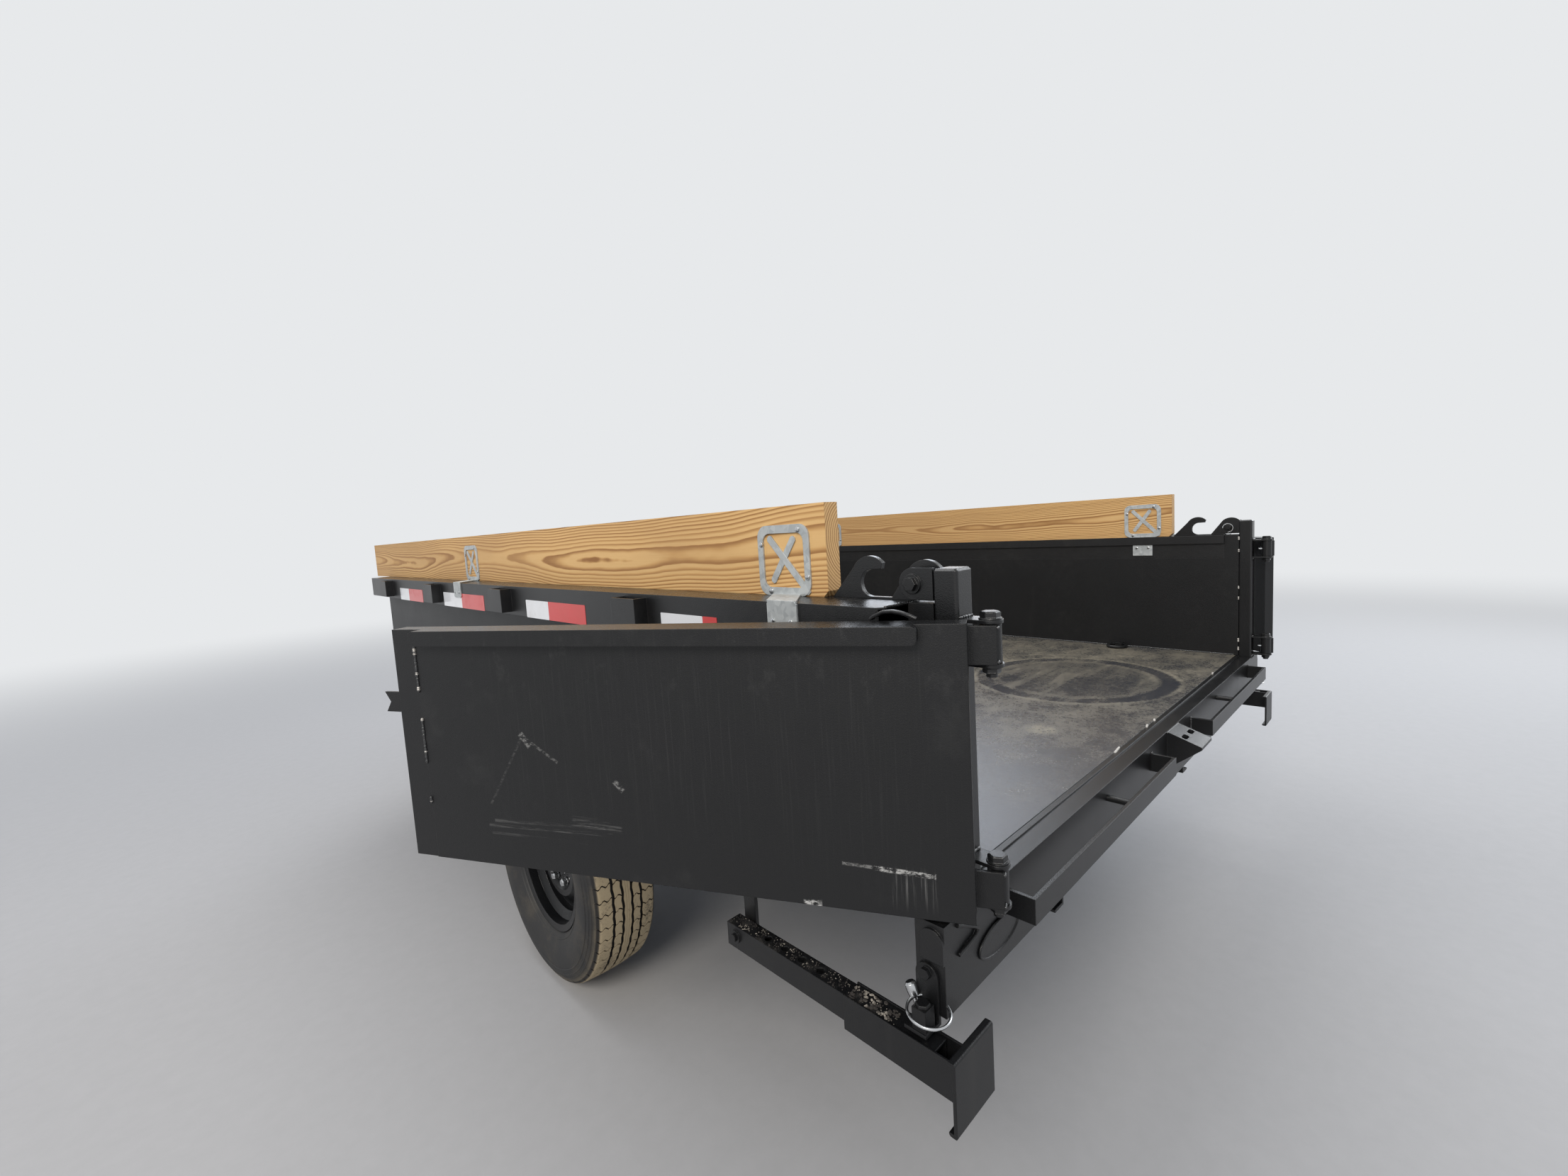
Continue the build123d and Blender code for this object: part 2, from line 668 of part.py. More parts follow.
# Rear stands: a drilled tube on the pivot, and an outer channel with the foot that slides on it
arm_length = 513.0
arm_rear_y = bed_rear_y - 5.0
arm_height = 50.0
arm_skin = 4.0
arm_sunk = 3.0
boss_r = 14.0
hole_first_y = bed_rear_y + 253.0
hole_pitch = 48.0
outer_length = 218.0
outer_height = 65.0
foot_web_y = bed_rear_y - 38.0
foot_skin = 6.0
foot_lip = 15.0
foot_width = 117.0
foot_height = 125.0
foot_corner = 4.0
slide_gap = 0.5
for side, sign in (("left", -1), ("right", 1)):
    arm_width = stand_size - 2 * stand_skin - 2 * slide_gap
    with BuildPart() as stand_arm:
        with BuildSketch(Plane.XZ.offset(-arm_rear_y)):
            with Locations((sign * stand_x, stand_top - arm_sunk)):
                Rectangle(arm_width, arm_height, align=(CENTRE, HIGH))
            with Locations((sign * stand_x, stand_top - arm_sunk - arm_skin)):
                Rectangle(
                    arm_width - 2 * arm_skin,
                    arm_height - 2 * arm_skin,
                    align=(CENTRE, HIGH),
                    mode=Mode.SUBTRACT,
                )
        extrude(amount=-arm_length)
        with BuildSketch(Plane.YZ.offset(sign * stand_x - stand_size / 2)):
            with Locations((stand_pivot_y, stand_pivot_z)):
                Circle(boss_r)
        extrude(amount=stand_size)
        with BuildSketch(Plane.YZ.offset(sign * stand_x - stand_size / 2)):
            with Locations((stand_pivot_y, stand_pivot_z)):
                Circle(stand_pin_r + running_fit)
        extrude(amount=stand_size, mode=Mode.SUBTRACT)
        with BuildSketch(Plane.XY.offset(stand_top)):
            for hole in range(4):
                with Locations((sign * stand_x, hole_first_y + hole_pitch * hole)):
                    Circle(8.0)
        extrude(amount=-arm_height - 2 * arm_sunk, mode=Mode.SUBTRACT)
    stand_arm.part.label = f"{side}_stand_arm"
    export_step(stand_arm.part, f"parts/{side}_stand_arm.step")

    with BuildPart() as stand_foot:
        with BuildSketch(Plane.XZ.offset(-foot_web_y)):
            with Locations((sign * stand_x, stand_top)):
                Rectangle(stand_size, outer_height, align=(CENTRE, HIGH))
                Rectangle(
                    stand_size - 2 * stand_skin,
                    outer_height - stand_skin,
                    align=(CENTRE, HIGH),
                    mode=Mode.SUBTRACT,
                )
        extrude(amount=-outer_length)
        with BuildSketch(Plane.YZ.offset(sign * (stand_x + stand_size / 2 + 1.0))):
            with Locations((foot_web_y - foot_skin, stand_top)):
                RectangleRounded(foot_lip, foot_height, foot_corner, align=(LOW, HIGH))
            with Locations((foot_web_y, stand_top - foot_skin)):
                Rectangle(foot_lip, foot_height - 2 * foot_skin, align=(LOW, HIGH), mode=Mode.SUBTRACT)
        extrude(amount=-sign * foot_width)
    stand_foot.part.label = f"{side}_stand_foot"
    export_step(stand_foot.part, f"parts/{side}_stand_foot.step")

# Barn doors: a sheet on a tube frame, a stiffener along the top and the hinge barrels.
# Each is drawn shut and then turned about its hinge to where it stands open.
# The left door carries the strip that laps the meeting line and the catch plate of the latch.
door_table = (
    # side, sign, free edge, swing back to the open place
    ("left", -1, door_overlap, -left_door_open),
    ("right", 1, door_overlap + door_meeting_gap, right_door_open),
)
stiffener_height = 30.0
stiffener_reach = 25.0
stiffener_corner = 10.0
stiffener_gap = 72.0
strip_width = 57.0
strip_step = 2.0
catch_z = floor_z + 322.0
catch_height = 44.0
catch_reach = 90.0
catch_root = 50.0
catch_skin = 6.0
leaf_length = 95.0
leaf_skin = 7.0
leaf_neck = 18.0
for side, sign, free_x, swing in door_table:
    hinge_edge = sign * (inside_half - door_gap)
    x_low = min(free_x, hinge_edge)
    x_high = max(free_x, hinge_edge)
    with BuildPart() as door_shut:
        with BuildSketch(Plane.XZ.offset(-door_inner_y)):
            with Locations((x_low, door_base)):
                Rectangle(x_high - x_low, door_top - door_base, align=(LOW, LOW))
        extrude(amount=door_thickness)
        with BuildSketch(Plane.XZ.offset(-door_inner_y + door_skin)):
            with Locations((x_low + door_tube, door_base + door_tube)):
                Rectangle(
                    x_high - x_low - 2 * door_tube,
                    door_top - door_base - 2 * door_tube,
                    align=(LOW, LOW),
                )
        extrude(amount=door_thickness, mode=Mode.SUBTRACT)
        strip_edge = free_x + sign * strip_width
        with BuildSketch(Plane.XZ.offset(-door_inner_y)):
            with Locations((min(free_x, strip_edge), door_base)):
                Rectangle(strip_width, door_top - door_base, align=(LOW, LOW))
        extrude(amount=strip_step, mode=Mode.SUBTRACT)
        stiffener_end = hinge_edge - sign * stiffener_gap
        stiffener_start = strip_edge + sign * 13.0
        with BuildSketch(Plane.XZ.offset(-door_inner_y)):
            with Locations(((stiffener_start + stiffener_end) / 2, door_top)):
                RectangleRounded(
                    abs(stiffener_end - stiffener_start),
                    stiffener_height,
                    stiffener_corner,
                    align=(CENTRE, HIGH),
                )
        extrude(amount=-stiffener_reach)
        if side == "left":
            with BuildSketch(Plane.XZ.offset(-door_outer_y)):
                with Locations((free_x, catch_z)):
                    Rectangle(catch_root, catch_height, align=(HIGH, CENTRE))
            extrude(amount=catch_skin)
            with BuildSketch(Plane.XZ.offset(-door_outer_y + catch_skin)):
                with BuildLine():
                    Polyline(
                        (free_x - catch_root, catch_z - catch_height / 2),
                        (free_x + catch_reach, catch_z - catch_height / 2),
                        (free_x + catch_reach - 14.0, catch_z),
                        (free_x + catch_reach, catch_z + catch_height / 2),
                        (free_x - catch_root, catch_z + catch_height / 2),
                        close=True,
                    )
                make_face()
            extrude(amount=catch_skin)
        for base in hinge_bases:
            with BuildSketch(Plane.XY.offset(base)):
                with Locations((sign * hinge_x, hinge_y)):
                    Circle(barrel_r)
                with Locations((sign * hinge_x, hinge_y)):
                    Rectangle(leaf_neck, door_outer_y - hinge_y, align=(CENTRE, LOW))
                with Locations((sign * hinge_x, door_outer_y)):
                    Rectangle(leaf_length, leaf_skin, align=(HIGH if sign > 0 else LOW, HIGH))
                with Locations((sign * hinge_x, hinge_y)):
                    Circle(hinge_pin_r + running_fit, mode=Mode.SUBTRACT)
            extrude(amount=hinge_barrel_height)
    door = door_shut.part.rotate(Axis((sign * hinge_x, hinge_y, 0), (0, 0, 1)), swing)
    door.label = f"{side}_door"
    export_step(door, f"parts/{side}_door.step")

# Chassis rails: channels with the tilt pins at their rear ends and the spring hangers
hanger_half = 340.0
spring_pin_r = 8.0
spring_eye_r = 16.0
spring_z = chassis_base - 48.0
with BuildPart() as chassis_rails:
    with BuildSketch(Plane.XZ.offset(-chassis_rear_y)):
        with Locations((sill_x, chassis_base)):
            Rectangle(rail_flange, rail_depth, align=(CENTRE, LOW))
        with Locations((sill_x + chassis_skin, chassis_base + chassis_skin)):
            Rectangle(
                rail_flange, rail_depth - 2 * chassis_skin, align=(CENTRE, LOW), mode=Mode.SUBTRACT
            )
    extrude(amount=chassis_rear_y - chassis_front_y)
    with BuildSketch(Plane.YZ.offset(sill_x - rail_flange / 2)):
        with BuildLine():
            Polyline(
                (chassis_rear_y - 1.0, chassis_top + 1.0),
                (chassis_rear_y + 26.0, chassis_top + 1.0),
                (chassis_rear_y - 1.0, chassis_top - 26.0),
                close=True,
            )
        make_face()
    extrude(amount=rail_flange, mode=Mode.SUBTRACT)
    with BuildSketch(Plane.YZ.offset(ear_x - ear_thickness - 12.0)):
        with Locations((tilt_y, tilt_z)):
            Circle(tilt_pin_r)
    extrude(amount=ear_thickness + 12.0 + rail_flange)
    with BuildSketch(Plane.YZ.offset(sill_x - rail_flange / 2)):
        for end in (-1, 1):
            with Locations((axle_y + end * hanger_half, spring_z)):
                Circle(24.0)
                Rectangle(48.0, chassis_base - spring_z, align=(CENTRE, LOW))
    extrude(amount=rail_flange)
    with BuildSketch(Plane.YZ.offset(sill_x - rail_flange / 2 + 5.0)):
        for end in (-1, 1):
            with Locations((axle_y + end * hanger_half, spring_z)):
                Circle(24.5)
                Rectangle(49.0, chassis_base - spring_z, align=(CENTRE, LOW))
    extrude(amount=rail_flange - 10.0, mode=Mode.SUBTRACT)
    with BuildSketch(Plane.YZ.offset(sill_x - rail_flange / 2)):
        with Locations((axle_y - hanger_half, spring_z), (axle_y + hanger_half, spring_z)):
            Circle(spring_pin_r)
    extrude(amount=rail_flange)
    mirror(about=Plane.YZ)
chassis_rails.part.label = "chassis_rails"
export_step(chassis_rails.part, "parts/chassis_rails.step")

# Chassis crossmembers, with the hoist's base ears on the second one
chassis_inner = sill_x - rail_flange / 2
member_table = (
    # rear face, low edge, height
    (tilt_y + 90.0, chassis_base, 120.0),
    (hoist_base_y - 110.0, chassis_base, 76.0),
    (bed_rear_y + 2550.0, chassis_base, 120.0),
    (bed_front_y - 60.0, chassis_base, rail_depth),
)
with BuildPart() as chassis_crossmembers:
    for rear_face, low_edge, height in member_table:
        with BuildSketch(Plane.YZ.offset(-chassis_inner)):
            with Locations((rear_face, low_edge)):
                Rectangle(60.0, height, align=(LOW, LOW))
            with Locations((rear_face + 6.0, low_edge + 6.0)):
                Rectangle(48.0, height - 12.0, align=(LOW, LOW), mode=Mode.SUBTRACT)
        extrude(amount=2 * chassis_inner)
    with BuildSketch(Plane.YZ.offset(hoist_ear_inner)):
        with Locations((hoist_base_y, hoist_base_z)):
            Circle(26.0)
        with Locations((hoist_base_y - 50.0, chassis_base)):
            Rectangle(4.0, 60.0, align=(HIGH, LOW))
        make_hull()
    extrude(amount=hoist_ear_skin)
    mirror(about=Plane.YZ)
    with BuildSketch(Plane.YZ.offset(-hoist_ear_inner - hoist_ear_skin)):
        with Locations((hoist_base_y, hoist_base_z)):
            Circle(hoist_pin_r)
    extrude(amount=2 * (hoist_ear_inner + hoist_ear_skin))
chassis_crossmembers.part.label = "chassis_crossmembers"
export_step(chassis_crossmembers.part, "parts/chassis_crossmembers.step")

# Hoist cylinder: barrel on its base eye, rod with the pushing eye
hoist_run_y = hoist_eye_y - hoist_base_y
hoist_run_z = hoist_eye_z - hoist_base_z
hoist_length = hypot(hoist_run_y, hoist_run_z)
hoist_slope = degrees(atan2(hoist_run_z, hoist_run_y))
hoist_barrel_length = 860.0
hoist_plane = Plane(
    origin=(0, hoist_base_y, hoist_base_z),
    x_dir=(1, 0, 0),
    z_dir=(0, cos(radians(hoist_slope)), sin(radians(hoist_slope))),
)
with BuildPart() as hoist_barrel:
    with BuildSketch(hoist_plane):
        Circle(hoist_rod_r)
    extrude(amount=hoist_neck)
    with BuildSketch(hoist_plane.offset(hoist_neck)):
        Circle(hoist_barrel_r)
    extrude(amount=hoist_barrel_length - hoist_neck)
    with BuildSketch(hoist_plane.offset(hoist_barrel_length - 200.0)):
        Circle(hoist_rod_r + 0.5)
    extrude(amount=200.0, mode=Mode.SUBTRACT)
    with BuildSketch(Plane.YZ.offset(-hoist_eye_half)):
        with Locations((hoist_base_y, hoist_base_z)):
            Circle(hoist_eye_r)
    extrude(amount=2 * hoist_eye_half)
    with BuildSketch(Plane.YZ.offset(-hoist_eye_half)):
        with Locations((hoist_base_y, hoist_base_z)):
            Circle(hoist_pin_r + running_fit)
    extrude(amount=2 * hoist_eye_half, mode=Mode.SUBTRACT)
hoist_barrel.part.label = "hoist_barrel"
export_step(hoist_barrel.part, "parts/hoist_barrel.step")

with BuildPart() as hoist_rod:
    with BuildSketch(hoist_plane.offset(hoist_barrel_length - 190.0)):
        Circle(hoist_rod_r)
    extrude(amount=hoist_length - hoist_barrel_length + 190.0 - 20.0)
    with BuildSketch(Plane.YZ.offset(-hoist_eye_half)):
        with Locations((hoist_eye_y, hoist_eye_z)):
            Circle(hoist_eye_r)
    extrude(amount=2 * hoist_eye_half)
    with BuildSketch(Plane.YZ.offset(-hoist_eye_half - 16.0)):
        with Locations((hoist_eye_y, hoist_eye_z)):
            Circle(hoist_pin_r)
    extrude(amount=2 * (hoist_eye_half + 16.0))
hoist_rod.part.label = "hoist_rod"
export_step(hoist_rod.part, "parts/hoist_rod.step")

# Drawbar rails, two channels that meet behind the coupler
tongue_rear_y = chassis_front_y
tongue_rear_x = sill_x - 10.0
brace_y = box_rear_y + 30.0


def tongue_inner_x(place_y):
    """Half the space between the drawbar rails at one place along the trailer."""
    share = (place_y - tongue_rear_y) / (tongue_front_y - tongue_rear_y)
    return tongue_rear_x + share * (tongue_front_x - tongue_rear_x) - tongue_width / 2


with BuildPart() as tongue_rails:
    with BuildSketch(Plane.XY.offset(chassis_base)):
        with BuildLine():
            Polyline(
                (tongue_rear_x - tongue_width / 2, tongue_rear_y),
                (tongue_rear_x + tongue_width / 2, tongue_rear_y),
                (tongue_front_x + tongue_width / 2, tongue_front_y),
                (tongue_front_x - tongue_width / 2, tongue_front_y),
                close=True,
            )
        make_face()
    extrude(amount=tongue_height)
    with BuildSketch(Plane.XY.offset(chassis_base + tongue_skin)):
        with BuildLine():
            Polyline(
                (tongue_rear_x - tongue_width / 2 + tongue_skin, tongue_rear_y),
                (tongue_rear_x + tongue_width, tongue_rear_y),
                (tongue_front_x + tongue_width, tongue_front_y),
                (tongue_front_x - tongue_width / 2 + tongue_skin, tongue_front_y),
                close=True,
            )
        make_face()
    extrude(amount=tongue_height - 2 * tongue_skin, mode=Mode.SUBTRACT)
    mirror(about=Plane.YZ)
    with BuildSketch(Plane.XY.offset(chassis_base + tongue_height - 60.0)):
        with BuildLine():
            Polyline(
                (tongue_inner_x(brace_y), brace_y),
                (tongue_inner_x(brace_y + 60.0), brace_y + 60.0),
                (-tongue_inner_x(brace_y + 60.0), brace_y + 60.0),
                (-tongue_inner_x(brace_y), brace_y),
                close=True,
            )
        make_face()
    extrude(amount=60.0)
tongue_rails.part.label = "tongue_rails"
export_step(tongue_rails.part, "parts/tongue_rails.step")

# Coupler: a shank plate across the drawbar's nose and the ball housing
ball_r = 29.4
housing_r = 46.0
socket_depth = 22.0
shank_half = 40.0
shank_top = 30.0
shank_slope = 8.0
lever_width = 22.0
with BuildPart() as coupler:
    with BuildSketch(Plane.XZ):
        with BuildLine():
            Line((0, -socket_depth), (0, housing_r))
            ThreePointArc((0, housing_r), Vector(housing_r, 0).rotate(Axis.Z, 45.0), (housing_r, 0))
            Line((housing_r, 0), (housing_r, -socket_depth))
            Line((housing_r, -socket_depth), (0, -socket_depth))
        make_face()
    revolve(axis=Axis.Z)
    with BuildSketch(Plane.XZ.offset(-tongue_front_y)):
        with BuildLine():
            Polyline(
                (-shank_half, -socket_depth),
                (-shank_half + shank_slope, shank_top),
                (shank_half - shank_slope, shank_top),
                (shank_half, -socket_depth),
                close=True,
            )
        make_face()
    extrude(amount=tongue_front_y + shank_slope)
    with BuildSketch(Plane.YZ.offset(-lever_width / 2)):
        with BuildLine():
            Polyline(
                (tongue_front_y + 20.0, shank_top - 2.0),
                (tongue_front_y + 20.0, 52.0),
                (tongue_front_y + 66.0, 68.0),
                (-34.0, 60.0),
                (-16.0, shank_top - 2.0),
                close=True,
            )
        make_face()
    extrude(amount=lever_width)
    with BuildSketch(Plane.XZ.offset(-tongue_front_y)):
        with Locations((0, chassis_base)):
            Rectangle(2 * (tongue_front_x + tongue_width / 2), tongue_height, align=(CENTRE, LOW))
    extrude(amount=-14.0)
    Sphere(ball_r, mode=Mode.SUBTRACT)
    with BuildSketch(Plane.XY.offset(-socket_depth)):
        Circle(ball_r)
    extrude(amount=socket_depth, mode=Mode.SUBTRACT)
coupler.part.label = "coupler"
export_step(coupler.part, "parts/coupler.step")

# Jack: plate across the drawbar rails, outer tube with crank head, and the sliding leg
plate_half = 260.0
jack_top = 470.0
with BuildPart() as jack_tube:
    with BuildSketch(Plane.XY.offset(chassis_base + tongue_height)):
        with Locations((0, jack_y)):
            Rectangle(2 * plate_half, 110.0)
            Circle(jack_leg_r + 0.5, mode=Mode.SUBTRACT)
    extrude(amount=10.0)
    with BuildSketch(Plane.XY.offset(chassis_base - 60.0)):
        with Locations((0, jack_y)):
            Circle(jack_tube_r)
            Circle(jack_leg_r + 0.5, mode=Mode.SUBTRACT)
    extrude(amount=jack_top - chassis_base + 60.0)
    with BuildSketch(Plane.XY.offset(jack_top)):
        with Locations((0, jack_y)):
            Circle(jack_tube_r + 6.0)
    extrude(amount=50.0)
    with BuildSketch(Plane.YZ.offset(0.0)):
        with Locations((jack_y, jack_top + 25.0)):
            Circle(8.0)
    extrude(amount=150.0)
    with BuildSketch(Plane.XY.offset(jack_top + 25.0)):
        with Locations((142.0, jack_y)):
            Circle(8.0)
    extrude(amount=-120.0)
jack_tube.part.label = "jack_tube"
export_step(jack_tube.part, "parts/jack_tube.step")

with BuildPart() as jack_leg:
    with BuildSketch(Plane.XY.offset(ground_z + 8.0)):
        with Locations((0, jack_y)):
            Circle(jack_leg_r)
            Circle(jack_leg_r - 4.0, mode=Mode.SUBTRACT)
    extrude(amount=640.0)
    with BuildSketch(Plane.XY.offset(ground_z)):
        with Locations((0, jack_y)):
            Rectangle(160.0, 160.0)
    extrude(amount=8.0)
jack_leg.part.label = "jack_leg"
export_step(jack_leg.part, "parts/jack_leg.step")

# Pump box on the drawbar: open case, hinged lid and the power unit inside
box_base = chassis_base + tongue_height
lid_hinge_x = 250.0
lid_knuckle = 60.0
lid_knuckle_r = 9.0
lid_pin_r = 5.0
lid_pin_z = box_base + box_height - 12.0
lid_pin_y = box_rear_y - 14.0
with BuildPart() as pump_box:
    with BuildSketch(Plane.XY.offset(box_base)):
        with Locations((0, box_rear_y)):
            Rectangle(2 * box_half, box_length, align=(CENTRE, LOW))
    extrude(amount=box_height)
    with BuildSketch(Plane.XY.offset(box_base + box_skin)):
        with Locations((0, box_rear_y + box_skin)):
            Rectangle(2 * (box_half - box_skin), box_length - 2 * box_skin, align=(CENTRE, LOW))
    extrude(amount=box_height, mode=Mode.SUBTRACT)
    for hinge_place in (-lid_hinge_x, lid_hinge_x):
        with BuildSketch(Plane.YZ.offset(hinge_place - lid_knuckle / 2)):
            with Locations((lid_pin_y, lid_pin_z)):
                Circle(lid_knuckle_r)
                Rectangle(box_rear_y - lid_pin_y, 2 * lid_pin_r, align=(LOW, CENTRE))
                Circle(lid_pin_r + running_fit, mode=Mode.SUBTRACT)
        extrude(amount=lid_knuckle)
pump_box.part.label = "pump_box"
export_step(pump_box.part, "parts/pump_box.step")

lid_gap = 0.5
lid_skin = 3.0
lid_flange = 30.0
lid_margin = 8.0
lid_tab = 8.0
with BuildPart() as pump_box_lid:
    with BuildSketch(Plane.XY.offset(box_base + box_height + lid_gap - lid_flange)):
        with Locations((0, box_rear_y - lid_margin)):
            Rectangle(2 * (box_half + lid_margin), box_length + 2 * lid_margin, align=(CENTRE, LOW))
    extrude(amount=lid_flange + lid_skin)
    with BuildSketch(Plane.XY.offset(box_base + box_height + lid_gap - lid_flange)):
        with Locations((0, box_rear_y - lid_margin + lid_skin)):
            Rectangle(
                2 * (box_half + lid_margin - lid_skin),
                box_length + 2 * (lid_margin - lid_skin),
                align=(CENTRE, LOW),
            )
    extrude(amount=lid_flange, mode=Mode.SUBTRACT)
    with BuildSketch(Plane.XY.offset(box_base + box_height + lid_gap - lid_flange)):
        with Locations((0, box_rear_y - lid_margin)):
            Rectangle(2 * (box_half + lid_margin) + 1.0, 2 * lid_skin, align=(CENTRE, CENTRE))
    extrude(amount=lid_flange, mode=Mode.SUBTRACT)
    for hinge_place in (-lid_hinge_x, lid_hinge_x):
        with BuildSketch(Plane.YZ.offset(hinge_place - lid_knuckle / 2 - 1.0 - lid_tab)):
            with Locations((lid_pin_y, lid_pin_z)):
                Circle(lid_pin_r)
        extrude(amount=lid_knuckle + 2 * (1.0 + lid_tab))
        for tab_start in (hinge_place - lid_knuckle / 2 - 1.0 - lid_tab, hinge_place + lid_knuckle / 2 + 1.0):
            with BuildSketch(Plane.YZ.offset(tab_start)):
                with Locations((lid_pin_y, lid_pin_z)):
                    Circle(lid_knuckle_r)
                    Rectangle(
                        lid_knuckle_r, box_base + box_height + lid_gap + lid_skin - lid_pin_z, align=(LOW, LOW)
                    )
            extrude(amount=lid_tab)
pump_box_lid.part.label = "pump_box_lid"
export_step(pump_box_lid.part, "parts/pump_box_lid.step")

with BuildPart() as power_unit:
    with BuildSketch(Plane.XY.offset(box_base + box_skin)):
        with Locations((-150.0, box_rear_y + 60.0)):
            Rectangle(180.0, 260.0, align=(CENTRE, LOW))
    extrude(amount=200.0)
    with BuildSketch(Plane.XY.offset(box_base + box_skin)):
        with Locations((140.0, box_rear_y + 60.0)):
            Rectangle(240.0, 200.0, align=(CENTRE, LOW))
    extrude(amount=230.0)
power_unit.part.label = "power_unit"
export_step(power_unit.part, "parts/power_unit.step")

# Axle: tube, spring seats, brake plates, spindles and the U bolts over the springs
spindle_start = wheel_x - 90.0
brake_plate_r = 124.0
brake_plate_x = wheel_x - 70.0
leaf_width = 38.0
leaf_skin = 8.0
leaf_count = 3
seat_lift = 10.0
bolt_wire_r = 6.0
clamp_half = 50.0
clamp_top = axle_z + axle_tube_r + seat_lift + leaf_count * leaf_skin
with BuildPart() as axle_beam:
    with BuildSketch(Plane.YZ.offset(-spindle_start)):
        with Locations((axle_y, axle_z)):
            Circle(axle_tube_r)
    extrude(amount=2 * spindle_start)
    with BuildSketch(Plane.YZ.offset(-wheel_x - 20.0)):
        with Locations((axle_y, axle_z)):
            Circle(spindle_r)
    extrude(amount=2 * (wheel_x + 20.0))
    for end in (-1, 1):
        with BuildSketch(Plane.YZ.offset(end * sill_x - leaf_width / 2)):
            with Locations((axle_y, axle_z)):
                Rectangle(110.0, axle_tube_r + seat_lift, align=(CENTRE, LOW))
        extrude(amount=leaf_width)
        with BuildSketch(Plane.YZ.offset(end * brake_plate_x)):
            with Locations((axle_y, axle_z)):
                Circle(brake_plate_r)
        extrude(amount=-end * 4.0)
        with BuildSketch(Plane.XY.offset(axle_z - axle_tube_r - 14.0)):
            with Locations((end * sill_x, axle_y)):
                Rectangle(leaf_width + 4 * bolt_wire_r + 12.0, 2 * clamp_half)
        extrude(amount=10.0)
        with BuildSketch(Plane.XY.offset(axle_z - axle_tube_r - 24.0)):
            for side_x in (-1, 1):
                for along in (-1, 1):
                    with Locations(
                        (
                            end * sill_x + side_x * (leaf_width / 2 + bolt_wire_r + 2.0),
                            axle_y + along * (clamp_half - bolt_wire_r - 4.0),
                        )
                    ):
                        Circle(bolt_wire_r)
        extrude(amount=clamp_top + 16.0 - axle_z + axle_tube_r + 24.0)
        with BuildSketch(Plane.XY.offset(clamp_top + 0.5)):
            with Locations((end * sill_x, axle_y)):
                Rectangle(leaf_width + 4 * bolt_wire_r + 8.0, 2 * clamp_half)
        extrude(amount=8.0)
axle_beam.part.label = "axle_beam"
export_step(axle_beam.part, "parts/axle_beam.step")

# Leaf springs: three stacked leaves, each shorter than the one above, and rolled eyes on the top leaf
leaf_base = axle_z + axle_tube_r + seat_lift
leaf_rise = spring_z - clamp_top
leaf_table = (
    # half length, top of the leaf at its middle
    (hanger_half, clamp_top),
    (hanger_half - 85.0, clamp_top - leaf_skin),
    (hanger_half - 170.0, clamp_top - 2 * leaf_skin),
)
with BuildPart() as leaf_springs:
    for side_x in (-sill_x, sill_x):
        with BuildSketch(Plane.YZ.offset(side_x - leaf_width / 2)):
            for half, middle in leaf_table:
                end_z = middle + leaf_rise * (half / hanger_half) ** 2
                low = leaf_skin + 0.4 if middle - leaf_skin > leaf_base else leaf_skin
                with BuildLine():
                    ThreePointArc((axle_y - half, end_z), (axle_y, middle), (axle_y + half, end_z))
                    Line((axle_y + half, end_z), (axle_y + half, end_z - low))
                    ThreePointArc(
                        (axle_y + half, end_z - low), (axle_y, middle - low), (axle_y - half, end_z - low)
                    )
                    Line((axle_y - half, end_z - low), (axle_y - half, end_z))
                make_face()
            with Locations((axle_y - hanger_half, spring_z), (axle_y + hanger_half, spring_z)):
                Circle(spring_eye_r)
                Circle(spring_pin_r + running_fit, mode=Mode.SUBTRACT)
        extrude(amount=leaf_width)
leaf_springs.part.label = "leaf_springs"
export_step(leaf_springs.part, "parts/leaf_springs.step")

